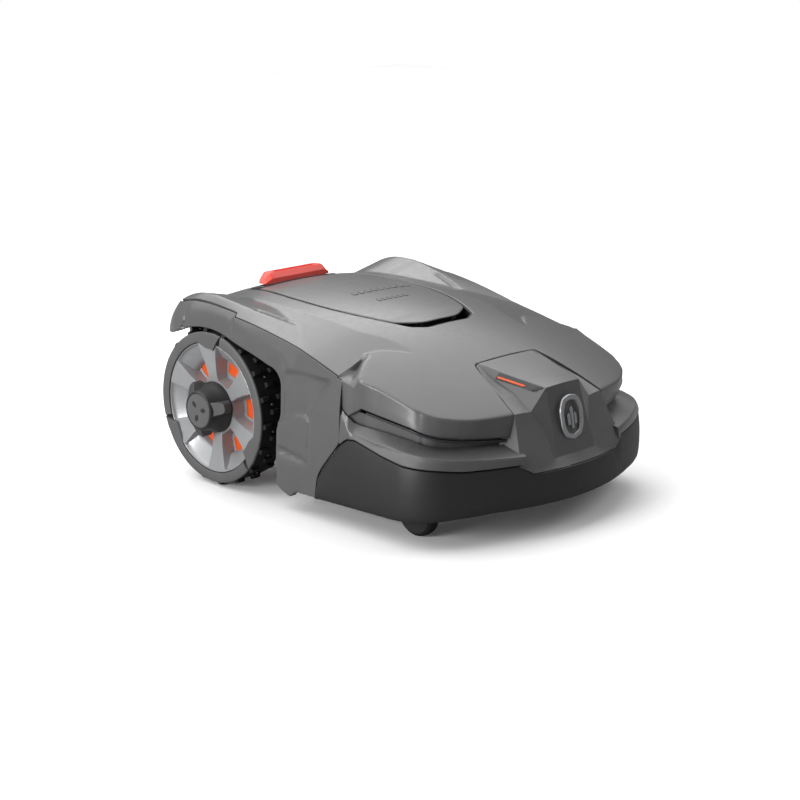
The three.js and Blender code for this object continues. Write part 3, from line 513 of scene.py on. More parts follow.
# The same line of points, spaced about a step apart.
def resample(points, step):
    out = [tuple(points[0])]
    for a, b in zip(points, points[1:]):
        count = max(1, round(math.dist(a, b) / step))
        out += [(lerp(a[0], b[0], i / count), lerp(a[1], b[1], i / count)) for i in range(1, count + 1)]
    return out


# The same outline with its corners rounded; the ends stay.
def rounded(points, radius, steps=5):
    out = [points[0]]
    for before, at, after in zip(points, points[1:], points[2:]):
        at = Vector(at)
        back = Vector(before) - at
        ahead = Vector(after) - at
        reach = min(radius, back.length * 0.45, ahead.length * 0.45)
        p0 = at + back.normalized() * reach
        p2 = at + ahead.normalized() * reach
        for i in range(steps + 1):
            t = i / steps
            out.append(tuple(p0 * (1 - t) ** 2 + at * 2 * t * (1 - t) + p2 * t * t))
    return out + [points[-1]]


def signed_area(loop):
    return sum(a[0] * b[1] - b[0] * a[1] for a, b in zip(loop, loop[1:] + loop[:1])) / 2


# One vertex of a panel's edge: where it lies in the panel's own plane, how far it rolls over, how
# deep its flange is and which way the flange runs; tail, when given, makes the points past the roll.
class Rim:
    def __init__(self, at, roll=1.2, depth=4.0, way=None, tail=None):
        self.at = Vector(at)
        self.roll = roll
        self.depth = depth
        self.way = way
        self.tail = tail


ROLL_TURNS = [math.radians(a) for a in (30, 60, 90)]
TAIL_STEPS = 5


# Where the flat part of a panel ends, one roll in from each rim.
def inset_loop(rims, outward):
    count = len(rims)
    out = []
    for i, rim in enumerate(rims):
        j = i - 1
        while (rims[j % count].at - rim.at).length < 1e-6:
            j -= 1
        k = i + 1
        while (rims[k % count].at - rim.at).length < 1e-6:
            k += 1
        before = (rim.at - rims[j % count].at).normalized()
        after = (rims[k % count].at - rim.at).normalized()
        n0 = Vector((before.y, -before.x)) * outward
        n1 = Vector((after.y, -after.x)) * outward
        middle = (n0 + n1).normalized()
        out.append(rim.at - middle * rim.roll / max(0.6, middle.dot(n0)))
    return out


def surface_normal(surface, at, facing):
    step = 0.4
    u, v = at
    du = surface(u + step, v) - surface(u - step, v)
    dv = surface(u, v + step) - surface(u, v - step)
    normal = du.cross(dv).normalized()
    return -normal if normal.dot(facing) > 0 else normal


# Adds the inset edge of a loop to the triangulation and returns the point that each rim starts from.
def add_edge(inset, cdt_points, cdt_edges):
    start = len(cdt_points)
    ring = []
    for point in inset:
        if not ring or (point - cdt_points[-1]).length > 1e-5:
            cdt_points.append(point)
        ring.append(len(cdt_points) - 1)
    if (cdt_points[-1] - cdt_points[start]).length < 1e-5:
        cdt_points.pop()
        ring = [start if i == len(cdt_points) else i for i in ring]
    end = len(cdt_points)
    cdt_edges += [(i, i + 1 if i + 1 < end else start) for i in range(start, end)]
    return ring


# Adds the parts of the feature lines that lie well inside the panel.
def add_features(features, polygons, step, cdt_points, cdt_edges):
    lines = []
    for feature in features:
        inside = inside_mask(np.array(feature), polygons)
        start = len(cdt_points)
        kept = [p for p, good in zip(feature, inside) if good and clear_of(p, polygons, 0.9)]
        cdt_points += [Vector(p) for p in kept]
        for i in range(start, len(cdt_points) - 1):
            if (cdt_points[i + 1] - cdt_points[i]).length < 3 * step:
                cdt_edges.append((i, i + 1))
        if kept:
            lines.append(np.array(kept))
    return lines


# Adds the rolled edge and the flange of one loop; ring holds the panel's points that it starts from.
def add_roll(rims, inset, ring, surface, facing, points, faces):
    first = len(points)
    rows = len(ROLL_TURNS) + TAIL_STEPS
    for rim, start in zip(rims, inset):
        down = surface_normal(surface, start, facing)
        way = Vector(rim.way).normalized() if rim.way else down
        for turn in ROLL_TURNS:
            at = start.lerp(rim.at, math.sin(turn))
            points.append(surface(*at) + down * rim.roll * (1 - math.cos(turn)))
        last = points[-1]
        if rim.tail:
            points += rim.tail(last)
        else:
            points += [last + way * rim.depth * (i + 1) / TAIL_STEPS for i in range(TAIL_STEPS)]
    for i in range(len(rims)):
        j = (i + 1) % len(rims)
        a, b = ring[i], ring[j]
        for row in range(rows):
            c, d = first + i * rows + row, first + j * rows + row
            faces.append((a, c, d) if a == b else (a, c, d, b))
            a, b = c, d


# A moulded panel: the part of a surface inside the loops, with a fine even mesh, rolled edges and
# flanges. Every loop is a list of Rim; the first one is the outside.
def panel(loops, surface, step, facing, features=()):
    cdt_points, cdt_edges, polygons, insets, rings = [], [], [], [], []
    for number, rims in enumerate(loops):
        area = signed_area([tuple(rim.at) for rim in rims])
        outward = (1 if area > 0 else -1) * (1 if number == 0 else -1)
        insets.append(inset_loop(rims, outward))
        start = len(cdt_points)
        rings.append(add_edge(insets[-1], cdt_points, cdt_edges))
        polygons.append(np.array([tuple(p) for p in cdt_points[start:]]))
    lines = add_features(features, polygons, step, cdt_points, cdt_edges)
    cdt_points += [Vector(p) for p in interior_points(polygons, step, lines)]
    verts, _, flat, origins, _, _ = delaunay_2d_cdt(cdt_points, cdt_edges, [], 0, 1e-6)
    found = {source: index for index, sources in enumerate(origins) for source in sources}
    centres = np.array([tuple(sum((verts[i] for i in face), Vector((0, 0))) / 3) for face in flat])
    points = [surface(*p) for p in verts]
    faces = [tuple(face) for face, good in zip(flat, inside_mask(centres, polygons)) if good]
    for rims, inset, ring in zip(loops, insets, rings):
        add_roll(rims, inset, [found[i] for i in ring], surface, facing, points, faces)
    return points, orient(points, faces, facing)


# Which of the points lie inside the first polygon and outside the others.
def inside_mask(centres, polygons):
    inside = np.zeros(len(centres), bool)
    for polygon in polygons:
        following = np.roll(polygon, -1, axis=0)
        for (x0, y0), (x1, y1) in zip(polygon, following):
            if y0 == y1:
                continue
            crosses = (y0 > centres[:, 1]) != (y1 > centres[:, 1])
            inside ^= crosses & (centres[:, 0] < x0 + (x1 - x0) * (centres[:, 1] - y0) / (y1 - y0))
    return inside


def clear_of(point, polygons, room):
    point = np.array(point)
    for polygon in polygons:
        run = np.roll(polygon, -1, axis=0) - polygon
        t = np.clip(np.einsum("ij,ij->i", point - polygon, run) / np.einsum("ij,ij->i", run, run), 0, 1)
        if np.linalg.norm(point - polygon - t[:, None] * run, axis=1).min() < room:
            return False
    return True


# A triangular grid of points over the panel, clear of its edges and its feature lines.
def interior_points(polygons, step, lines):
    outer = polygons[0]
    low, high = outer.min(0), outer.max(0)
    rows = int((high[1] - low[1]) / (step * 0.866)) + 1
    half_cols = int((high[0] - low[0]) / step / 2) + 2
    middle = (low[0] + high[0]) / 2
    grid = np.array([(middle + (col + 0.5 * (row % 2)) * step, low[1] + row * step * 0.866)
                     for row in range(rows) for col in range(-half_cols, half_cols)])
    grid = grid[inside_mask(grid, polygons)]
    for polygon in polygons:
        for a, b in zip(polygon, np.roll(polygon, -1, axis=0)):
            run = b - a
            t = np.clip((grid - a) @ run / (run @ run), 0, 1)
            gap = np.linalg.norm(grid - a - t[:, None] * run, axis=1)
            grid = grid[gap > 0.55 * step]
    for line in lines:
        for point in line:
            grid = grid[np.linalg.norm(grid - point, axis=1) > 0.6 * step]
    return [tuple(p) for p in grid]


# Turns the faces so that, taken together, they face the outside direction.
def orient(points, faces, outside):
    tidy = bmesh.new()
    verts = [tidy.verts.new(p) for p in points]
    made = []
    for face in faces:
        if len(set(face)) < 3:
            continue
        try:
            made.append(tidy.faces.new([verts[i] for i in face]))
        except ValueError:
            continue
    bmesh.ops.recalc_face_normals(tidy, faces=tidy.faces)
    tidy.normal_update()
    total = sum((f.normal * f.calc_area() for f in made), Vector())
    if total.dot(Vector(outside)) < 0:
        bmesh.ops.reverse_faces(tidy, faces=tidy.faces)
    tidy.verts.index_update()
    result = [tuple(v.index for v in f.verts) for f in tidy.faces]
    tidy.free()
    return result


# ---------------------------------------------------------------- hood
# The whole loop of a half that runs on the +X side from the centre line back to the centre line.
def mirrored_loop(half):
    other = []
    for rim in reversed(half[1:-1]):
        twin = Rim((-rim.at.x, rim.at.y), rim.roll, rim.depth, rim.way)
        if rim.tail:
            twin.tail = flipped_tail(rim.tail)
        other.append(twin)
    return half + other


def flipped_tail(tail):
    def turned(last):
        left = tail(Vector((-last.x, last.y, last.z)))
        return [Vector((-p.x, p.y, p.z)) for p in left]
    return turned


def deck_surface(x, y):
    return Vector((x, y, hood_height(x, y)))


NOTCH = [(0, -191), (68.6, -191), (77.4, -214.6), (91.4, -264.6), (99.4, -297)]
LIP_ROLL = [(LIP_KINK - 20, 3.6), (LIP_KINK, 1.6), (LIP_END, 1.0)]


# The lip's side wall: from its rolled edge down to its foot, round it and back in under the deck.
def lip_tail(s):
    foot = outline_point(s, ramp(LIP_FOOT_INSET, s), ramp(LIP_FOOT_Z, s))
    _, _, nx, ny = outline_at(s)
    inward = Vector((-nx, -ny, 0))

    def tail(last):
        bottom = foot.copy()
        bottom.z = min(foot.z, last.z - 1)
        above = last.lerp(bottom, 0.5)
        wall = last - bottom
        near = bottom + wall.normalized() * min(2.0, wall.length * 0.4)
        turn = bottom + inward * 0.7 + DOWNWARD * 0.4
        return [above, near, turn, bottom + inward * 2.5 + DOWNWARD, bottom + inward * 14]
    return tail


# Lines of the hood that the mesh has to follow: the deck's edges, the wing's step, the groove, the
# fender's crest and dent, and the foot of the fender.
def hood_features():
    left = [[(deck_edge(y) + side, y) for y in np.arange(-112, 290, 3.2)] for side in (-2.2, 0.6)]
    for share in (-0.5, -0.2, 0.2, 0.5):
        left.append([(x, ramp(WING_EDGE, x) - WING_STEP * share)
                     for x in np.arange(130, GROOVE_START - 2, 2.6)])
    rear_wall = (GROOVE_RIDGE, GROOVE_FLOOR, 252,
                 ((0.0, 196), (0.25, 196), (0.5, 196), (0.75, 196), (1.0, 196)))
    front_wall = (GROOVE_FLOOR, GROOVE_FRONT, 248, ((0.25, 210), (0.5, 200), (0.75, 196), (1.0, 186)))
    for behind, ahead, end, shares in (rear_wall, front_wall):
        for share, start in shares:
            left.append([(x, lerp(ramp(behind, x), ramp(ahead, x), share))
                         for x in np.arange(start, end, 2.6)])
    for ahead in (-1.2, 1.2, 4.5, 8.5, 12.5):
        left.append([(ramp(FENDER_CREST, y) - ahead, y) for y in np.arange(62, 270, 3)])
    left.append([(lerp(161, 238, t), lerp(103, 7, t)) for t in np.linspace(0, 1, 40)])
    return left + [[(-x, y) for x, y in line] for line in left]


# Places along the seam between hood and side panel, closest together round its step over the wheel.
def seam_marks(start, end, ahead, along):
    marks = evenly(start, side_s(-84), ahead) + evenly(side_s(-84), side_s(146), along)
    marks += evenly(side_s(146), side_s(158), 10) + evenly(side_s(158), end, 60)
    return marks + [end]


# The hood's edge from the middle of the nose notch along the lip and the seam to the middle of the tail.
def hood_half():
    rims = [Rim(p) for p in resample(rounded(NOTCH, 7), 3.2)]
    for s in distances(LIP_START, LIP_KINK - 8, 4) + distances(LIP_KINK - 7, LIP_END, 1.6):
        at = outline_point(s, ramp(LIP_TOP_INSET, s), 0)
        rims.append(Rim((at.x, at.y), ramp(LIP_ROLL, s), tail=lip_tail(s)))
    seam = []
    for s in seam_marks(LIP_END, S_TAIL, 22, 60):
        at = outline_point(s, ramp(SEAM_INSET, s) + SEAM_SET_BACK, 0)
        seam.append(Rim((at.x, at.y), roll=0.7, depth=8))
    seam[0].roll = 1.0
    tail_y = HALF_LENGTH - ramp(SEAM_INSET, S_TAIL) - SEAM_SET_BACK
    rear = [Rim((x, tail_y), roll=0.7, depth=8) for x in evenly(seam[-1].at.x, 0, 40)[1:] + [0]]
    return rims + seam + rear


# Half width of the hatch, which bulges in the middle of its length.
def hatch_half(y):
    off = y - 110
    return 116 - (1.6e-3 if off < 0 else 0.75e-3) * off * off


TRAY_FRONT = -75
TRAY_REAR = 302
HATCH_FRONT = -56
HATCH_REAR = 265


def hatch_outline(inset, front, rear, corner):
    side = [(hatch_half(y) - inset, y) for y in np.linspace(front + 0.9 * corner, rear, 26)]
    left = [(0, front), (hatch_half(front) - inset - corner, front)] + side + [(0, rear)]
    return rounded(left, 0.7 * corner)


def loop_from_half(left, step, **rim):
    half = [Rim(p, **rim) for p in resample(left, step)]
    return mirrored_loop(half)


# Evens out the steep wall of the groove, whose slope the mesh is too coarse to follow; its ridge stays.
def relax_groove(points, faces, rounds=4):
    near = {}
    for face in faces:
        for i, j in zip(face, face[1:] + face[:1]):
            near.setdefault(i, set()).add(j)
            near.setdefault(j, set()).add(i)

    def on_top(p):
        return abs(p.z - hood_height(p.x, p.y)) < 0.01
    tops = {i for i, p in enumerate(points) if on_top(p)}
    zone = []
    for i in tops:
        side, y = abs(points[i].x), points[i].y
        in_zone = side > GROOVE_START and -152 < y < ramp(GROOVE_RIDGE, side) - 0.6
        if in_zone and near[i] <= tops:
            zone.append(i)
    zone.sort()
    for _ in range(rounds):
        mean = [sum(points[j].z for j in near[i]) / len(near[i]) for i in zone]
        for i, z in zip(zone, mean):
            points[i].z = lerp(points[i].z, z, 0.6)


def make_hood():
    tray = hatch_outline(-SEAM_GAP, TRAY_FRONT - SEAM_GAP, TRAY_REAR + SEAM_GAP, 16)
    opening = loop_from_half(tray, 3.2, roll=1.6, depth=8, way=DOWNWARD)
    points, faces = panel([mirrored_loop(hood_half()), opening], deck_surface, 3.6, UPWARD, hood_features())
    relax_groove(points, faces)
    make_piece("hood_shell", points, faces, BODY, "cover", "body_grey", ["hood"])


def make_hatch_cover():
    def surface(x, y):
        dip = 0.8 * smooth((-22 - y) / 12)
        return Vector((x, y, crown(x, y) - dip))
    outline = loop_from_half(hatch_outline(4.6, HATCH_FRONT, HATCH_REAR, 26), 3.0, roll=1.6, depth=0.8)
    points, faces = panel([outline], surface, 4.5, UPWARD)
    make_piece("hatch_lid", points, faces, BODY, "hatch", "body_grey", ["hatch_cover"], wall=1.2)


# ---------------------------------------------------------------- side and rear panels
ARCH = [(43, 38), (45, 69), (43, 141)] + ARCH_EDGE[1:]
PANEL_FOOT = [(-43.8, 35), (1, 34), (12, 23), (36, 31), (43, 38)]
PANEL_FRONT = [(-98, 160), (-98, 134), (-92.8, 126.5), (-58.8, 86), (-48.8, 70), (-43.8, 42), (-43.8, 35)]


# The panel's edge in (s, z): front, foot, wheel arch, rear end, and back along the seam.
def side_rims():
    tail = S_TAIL - 0.3
    top = [Rim((s, seam_height(s) - SEAM_GAP), 0.7, 7, DOWNWARD)
           for s in seam_marks(side_s(-98), tail, 24, 66)]
    front = [Rim(p, 1.0, 3) for p in resample(rounded(PANEL_FRONT, 8), 3)]
    foot = [Rim(p, 2.0, 6) for p in resample(rounded(PANEL_FOOT, 6), 3)]
    arch = [Rim(p, 2.6, 9, (-1, 0, 0)) for p in resample(rounded(ARCH, 16), 3.5)]
    for rim in front + foot + arch:
        rim.at.x = side_s(rim.at.x)
    behind_s, behind_z = arch[-1].at
    behind = [Rim((s, behind_z), 2.6, 14) for s in evenly(behind_s, tail, 16)[1:] + [tail]]
    end = [Rim((tail, z), 0.8, 3) for z in evenly(behind_z, top[-1].at.y, 14)[1:] + [top[-1].at.y]]
    butt = [Rim((top[0].at.x, z), 0.3, 2) for z in evenly(top[0].at.y, front[0].at.y, 10)[1:]]
    return front + foot[1:] + arch[1:] + behind + end + top[::-1][1:] + butt


# Lines of the side panel that the mesh has to follow: the crease of the pillar and the pad's edge.
def side_features():
    lines = []
    for ahead in (0.0, 3.0, 8.5, 14.0):
        lines.append([(side_s(ramp(PILLAR_CREASE, z) + ahead), z) for z in np.arange(84, 222, 3)])
    ring = resample(rounded(PAD_OUTLINE + PAD_OUTLINE[:2], 8)[1:-1], 2.6)
    middle = Vector((-2, 122))
    for grow in (0.955, 1.0, 1.05):
        scaled = [middle + (Vector(p) - middle) * grow for p in ring]
        lines.append([(side_s(p.x), p.y) for p in scaled])
    return lines


def make_side_panels():
    points, faces = panel([side_rims()], side_point, 3.6, Vector((1, 1, 0.3)), side_features())
    for side, mirror in SIDES:
        make_piece(f"side_shell_{side}", points, faces, BODY, "cover", "body_grey", [f"side_panel_{side}"],
                   mirror=mirror)


# The rear panel bends in to the seam above and tucks under below, with ribs across its middle.
REAR_FOOT_Z = 101
REAR_SHOULDER_Z = 226
RIB_PITCH = 16


def make_rear_panel():
    half = HALF_WIDTH - REAR_CORNER_R - 0.6
    inset = ramp(SEAM_INSET, S_TAIL)
    bend = ramp(BEND_Z, S_TAIL)

    def seam(x):
        return hood_height(x, HALF_LENGTH - inset)

    def surface(x, z):
        rise = clamp01((z - bend) / (seam(x) - bend))
        tuck = 14 * smooth((170 - z) / 70)
        groove = 1.6 * smooth((4 - abs((z - 150) % RIB_PITCH - 8)) / 2.2) * smooth((150 - abs(x)) / 4)
        groove *= smooth((z - 112) / 4) * smooth((208 - z) / 4)
        return Vector((x, HALF_LENGTH - 0.1 - inset * rise * rise - tuck - groove, z))
    top = [Rim((x, seam(x) - SEAM_GAP), 1.2, 3, DOWNWARD) for x in evenly(half, -half, 90) + [-half]]
    low = [(-half, REAR_SHOULDER_Z), (-half, REAR_FOOT_Z + 11), (-half + 12, REAR_FOOT_Z)]
    low += [(-x, z) for x, z in reversed(low)]
    bottom = [Rim(p, 2, 5) for p in resample(rounded(low, 8), 4)]
    left = [Rim((-half, z), 0.8, 3) for z in evenly(top[-1].at.y, REAR_SHOULDER_Z, 12)[1:]]
    right = [Rim((half, z), 0.8, 3) for z in evenly(REAR_SHOULDER_Z, top[0].at.y, 12)[1:]]
    points, faces = panel([top + left + bottom + right], surface, 4.2, Vector((0, 1, 0)))
    make_piece("rear_shell", points, faces, BODY, "cover", "body_grey", ["rear_panel"])


# ---------------------------------------------------------------- swept parts of the front
def sweep(name, rows, material, slot, replaces=(), mirror=False):
    points, faces = capped(rows)
    faces = orient(points, faces, (0, -1, 0))
    make_piece(name, points, faces, material, "cover", slot, replaces, mirror=mirror)


# Places from low to high about a step apart, with one at each place that the tables state.
def distances(low, high, step, *tables):
    marks = {low, high}
    for table in tables:
        marks |= {s for s, _ in table if low < s < high}
    marks = sorted(marks)
    out = [marks[0]]
    for a, b in zip(marks, marks[1:]):
        count = max(1, round((b - a) / step))
        out += [lerp(a, b, i / count) for i in range(1, count + 1)]
    return out


# Section of the band under the headlight slit: into the slit, along the ledge and down to the bumper.
def band_section(s):
    ledge = ramp(LEDGE_INSET, s)
    ledge_z = ramp(LEDGE_Z, s)
    slit = ramp(SLIT_INSET, s)
    slit_z = ramp(SLIT_Z, s)
    foot_z = ramp(BUMPER_TOP, s) + 2.2
    rise = (slit_z - ledge_z) / max(1.0, slit - ledge)
    round_r = 2.6
    profile = [(slit + 7, slit_z + 16), (slit + 6, slit_z - 3), (slit + 0.8, slit_z - 2.6),
               (slit, slit_z - 0.8),
               (slit - 1.5, slit_z)]
    profile += [(lerp(slit - 1.5, ledge + round_r, t), lerp(slit_z, ledge_z + rise * round_r, t))
                for t in (0.33, 0.66, 1)]
    profile += [(ledge + 0.8, ledge_z - 0.4), (ledge - 0.2, ledge_z - round_r)]
    foot = ramp(BAND_FOOT_INSET, s)
    bulge = ramp(BAND_BULGE, s)
    profile += [(lerp(ledge - 0.2, foot, t ** bulge), lerp(ledge_z - round_r, foot_z + 2, t))
                for t in (0.12, 0.33, 0.66, 1)]
    profile += [(foot + 0.6, foot_z + 0.3), (5, foot_z), (8, foot_z + 2)]
    return [outline_point(s, inset, z) for inset, z in profile]


def make_band():
    places = distances(LIP_START - 2.6, BAND_END + 0.4, 2.6, LEDGE_Z, SLIT_Z, BUMPER_TOP)
    for side, mirror in SIDES:
        sweep(f"front_band_{side}", [band_section(s) for s in places], BODY, "body_grey", mirror=mirror)


def bumper_section(s):
    top = ramp(BUMPER_TOP, s)
    foot = ramp(BUMPER_FOOT, s)
    height = top - foot
    belly = [(1.5, 0.97), (0.4, 0.88), (-0.7, 0.75), (-1.3, 0.62), (-1.5, 0.5), (-1.4, 0.36), (-1.0, 0.24),
             (-0.2, 0.13), (0.8, 0.06), (2.2, 0.02), (4.5, 0.0), (9.0, 0.0)]
    profile = [(8, 1 - 1.5 / height), (5, 1.0), (2.8, 1.0), (2.0, 1 - 0.6 / height)] + belly
    return [outline_point(s, inset, foot + height * share) for inset, share in profile]


def make_bumper():
    left = [bumper_section(s) for s in distances(0, BUMPER_END, 3.2, BUMPER_TOP, BUMPER_FOOT)]
    right = [[Vector((-p.x, p.y, p.z)) for p in row] for row in reversed(left[1:])]
    sweep("bumper_shell", right + left, BLACK, "black_plastic", ["bumper"])


def headlight_section(s):
    inset = ramp(LIP_FOOT_INSET, s) + 3.5
    top = ramp(LIP_FOOT_Z, s) - 4.5
    profile = [(5, 0), (1.0, 0), (0.2, -0.6), (0, -1.4), (0.4, -3.4), (1.2, -4), (5, -4)]
    return [outline_point(s, inset + dx, top + dz) for dx, dz in profile]


def make_headlights():
    places = distances(LIP_START + 1.5, side_s(-136), 4)
    for side, mirror in SIDES:
        sweep(f"headlight_bar_{side}", [headlight_section(s) for s in places], LENS_BAR, "lens",
              [f"headlight_{side}"], mirror)


# Nose block: rows from the top rear seam over the snout and down to the bumper seam. Each row gives
# the centre, the snout's edge, the foot of its side wall, the shelf, and the outer edge.
NOSE_ROWS = [
    [(0, -192.7, 235.3), (58, -192.7, 234.3), (62, -193.2, 233.4), (66.8, -193.4, 232.3),
     (67.2, -193.4, 232.2)],
    [(0, -228, 229), (55, -228, 227.5), (62, -228, 215), (71, -228, 214), (79.8, -228, 214.6)],
    [(0, -265, 222.5), (46, -265, 220.5), (61.5, -266, 202), (79, -265, 199.5), (89, -265, 199.5)],
    [(0, -308, 215.5), (37, -305, 213.5), (66, -302, 182), (84, -299.5, 183), (97.4, -297.5, 183)],
    [(0, -326, 150), (40, -323, 150), (47, -318, 148), (88, -313, 150), (105, -311, 150)],
    [(0, -338, 116), (43, -334.5, 115), (50, -333, 115), (92, -329.5, 118), (113.5, -325.5, 119)],
    [(0, -345.5, 101.4), (44, -343, 101.4), (52, -342, 101.4), (93, -335, 101.4), (115.5, -328.3, 113.6)],
]


def make_nose():
    half = [[Vector(p) for p in row] for row in NOSE_ROWS]
    for row in half[3:]:
        row.append(row[-1] + Vector((0.6, 40, 2)))
    for row in half[:3]:
        row.append(row[-1] + Vector((0.2, 1, -5)))
    rows = [[Vector((-p.x, p.y, p.z)) for p in reversed(row[1:])] + row for row in half]
    behind = [p + Vector((0, 0.6, -5)) for p in rows[0]]
    under = [p + Vector((0, 6, 0.4)) for p in rows[-1]]
    rows = [behind] + rows + [under]
    points = [p for row in rows for p in row]
    faces = orient(points, grid_faces(len(rows), len(rows[0])), (0, -1, 0.3))
    mesh = bevelled("nose_block", points, faces, 9, 2.6, 4, closed=False)
    finish_piece("nose_block", mesh, BODY, "cover", "body_grey", ["front_fascia"], sharp=40)


# The point of one of the nose's edge lines at y.
def nose_row_at(y, column):
    pairs = [(-row[column][1], row[column]) for row in NOSE_ROWS]
    for (y0, p0), (y1, p1) in zip(pairs, pairs[1:]):
        if y0 <= -y <= y1:
            return Vector(p0).lerp(Vector(p1), (-y - y0) / (y1 - y0))
    return Vector(pairs[0][1] if -y < pairs[0][0] else pairs[-1][1])


# A slanting strip on the snout's side wall, between two shares of the lamp's height.
LAMP_HEIGHT = 11
LAMP_STATIONS = 14


def lamp_strip(low, high, rear, front, proud):
    def on_wall(y, down):
        edge, foot = nose_row_at(y, 1), nose_row_at(y, 2)
        run = (foot - edge).normalized()
        return edge + run * down, run

    rows = []
    for i in range(LAMP_STATIONS):
        along = i / (LAMP_STATIONS - 1)
        y, slant = lerp(rear, front, along), lerp(3, 15, along)
        top, run = on_wall(y + slant * low, 1.2 + LAMP_HEIGHT * low)
        bottom, _ = on_wall(y + slant * high, 1.2 + LAMP_HEIGHT * high)
        out = Vector((-run.z, 0, run.x))
        rows.append([top - out * 2, top + out * proud * 0.6, top + out * proud + run * 0.5,
                     bottom + out * proud - run * 0.5, bottom + out * proud * 0.6, bottom - out * 2])
    points, faces = capped(rows)
    return points, orient(points, faces, (1, -0.3, 0))


def make_nose_lamps():
    for side, mirror in SIDES:
        points, faces = lamp_strip(0.0, 1.0, -230.5, -306, 1.0)
        make_piece(f"nose_lamp_lens_{side}", points, faces, LENS, "cover", "lens", [f"nose_lamp_{side}"],
                   mirror=mirror)
        points, faces = lamp_strip(0.55, 0.85, -233, -286, 1.8)
        make_piece(f"nose_lamp_strip_{side}", points, faces, ORANGE, "cover", "orange", mirror=mirror)


# ---------------------------------------------------------------- trim and controls
# An upright block of an outline, with all its edges rounded; place turns it into position.
def block_mesh(name, outline, low, high, bevel, material, body, slot, place):
    block = bmesh.new()
    bottom = [block.verts.new((x * MM, y * MM, low * MM)) for x, y in outline]
    top = [block.verts.new((x * MM, y * MM, high * MM)) for x, y in outline]
    block.faces.new(list(reversed(bottom)))
    block.faces.new(top)
    count = len(outline)
    for i in range(count):
        j = (i + 1) % count
        block.faces.new((bottom[i], bottom[j], top[j], top[i]))
    bmesh.ops.recalc_face_normals(block, faces=block.faces)
    edges = [e for e in block.edges if e.calc_face_angle() > math.radians(25)]
    bmesh.ops.bevel(block, geom=edges, offset=bevel * MM, segments=3, profile=0.5, affect="EDGES",
                    clamp_overlap=True)
    mesh = bpy.data.meshes.new(name)
    for vert in block.verts:
        vert.co = place(vert.co / MM) * MM
    block.to_mesh(mesh)
    block.free()
    finish_piece(name, mesh, material, body, slot, sharp=35)


def circle(radius, count):
    turns = evenly(0, 2 * math.pi, count)
    return [(radius * math.cos(turn), radius * math.sin(turn)) for turn in turns]


BADGE_AT = Vector((0, -324.1, 165))
BADGE_LEAN = math.atan2(12, 65)


# Puts a flat shape drawn in (x, up) on the snout's leaning front face.
def on_snout(p):
    up = Vector((0, math.sin(BADGE_LEAN), math.cos(BADGE_LEAN)))
    out = Vector((0, -math.cos(BADGE_LEAN), math.sin(BADGE_LEAN)))
    return BADGE_AT + Vector((p.x, 0, 0)) + up * p.y + out * p.z


def make_badge():
    outer = [(0, -31), (15, -26), (21, -13), (22, 12), (15, 27)]
    outer += [(0, 31)] + [(-x, y) for x, y in reversed(outer[1:])]
    outer = rounded([(x * 1.16, y * 1.1 + 1.5) for x, y in outer + outer[:1]], 6, 4)[1:]
    inner = [(x * 0.7, y * 0.76) for x, y in outer]
    count = len(outer)
    points = []
    for loop, z in ((outer, 0.0), (outer, 2.0), (inner, 2.0), (inner, 0.0)):
        scale = 0.97 if loop is outer and z else 1.03 if z else 1.0
        points += [on_snout(Vector((x * scale, y * scale, z))) for x, y in loop]
    faces = [(a * count + i, a * count + (i + 1) % count, b * count + (i + 1) % count, b * count + i)
             for a, b in ((0, 1), (1, 2), (2, 3), (3, 0)) for i in range(count)]
    faces = orient(points, faces, (0, -1, 0))
    make_piece("badge_ring", points, faces, SILVER, "cover", "silver", ["badge_plate"])
    for i, (x, low, high) in enumerate(((-7, -10, 4), (0, -16, 13), (7, -10, 4))):
        blade = [(x - 2.6, low), (x + 2.6, low), (x + 2.6, high), (x, high + 4), (x - 2.6, high)]
        block_mesh(f"badge_bar_{i + 1}", blade, 0, 2.0, 0.5, SILVER, "cover", "silver", place=on_snout)
    pad = [(-24, -51), (24, -51), (20, -36), (-20, -36)]
    block_mesh("snout_pad", pad, -0.6, 0.9, 0.5, RING, "cover", "dark_grey", place=on_snout)


def make_hatch_marks():
    def on_hatch(p):
        return Vector((p.x, p.y, crown(p.x, p.y) + p.z - 0.8))
    rows = ((9, -38, 14.6, 97, 110), (6, -30, 11.6, 49, 60))
    marks = [(left + i * pitch, pitch * 0.66, low, high) for count, left, pitch, low, high in rows
             for i in range(count)]
    for number, (x, width, low, high) in enumerate(marks, 1):
        slant = [(x, low), (x + width, low), (x + width + 3, high), (x + 3, high)]
        block_mesh(f"hatch_mark_{number}", slant, 0, 1.8, 0.5, RING, "hatch", "silver", place=on_hatch)


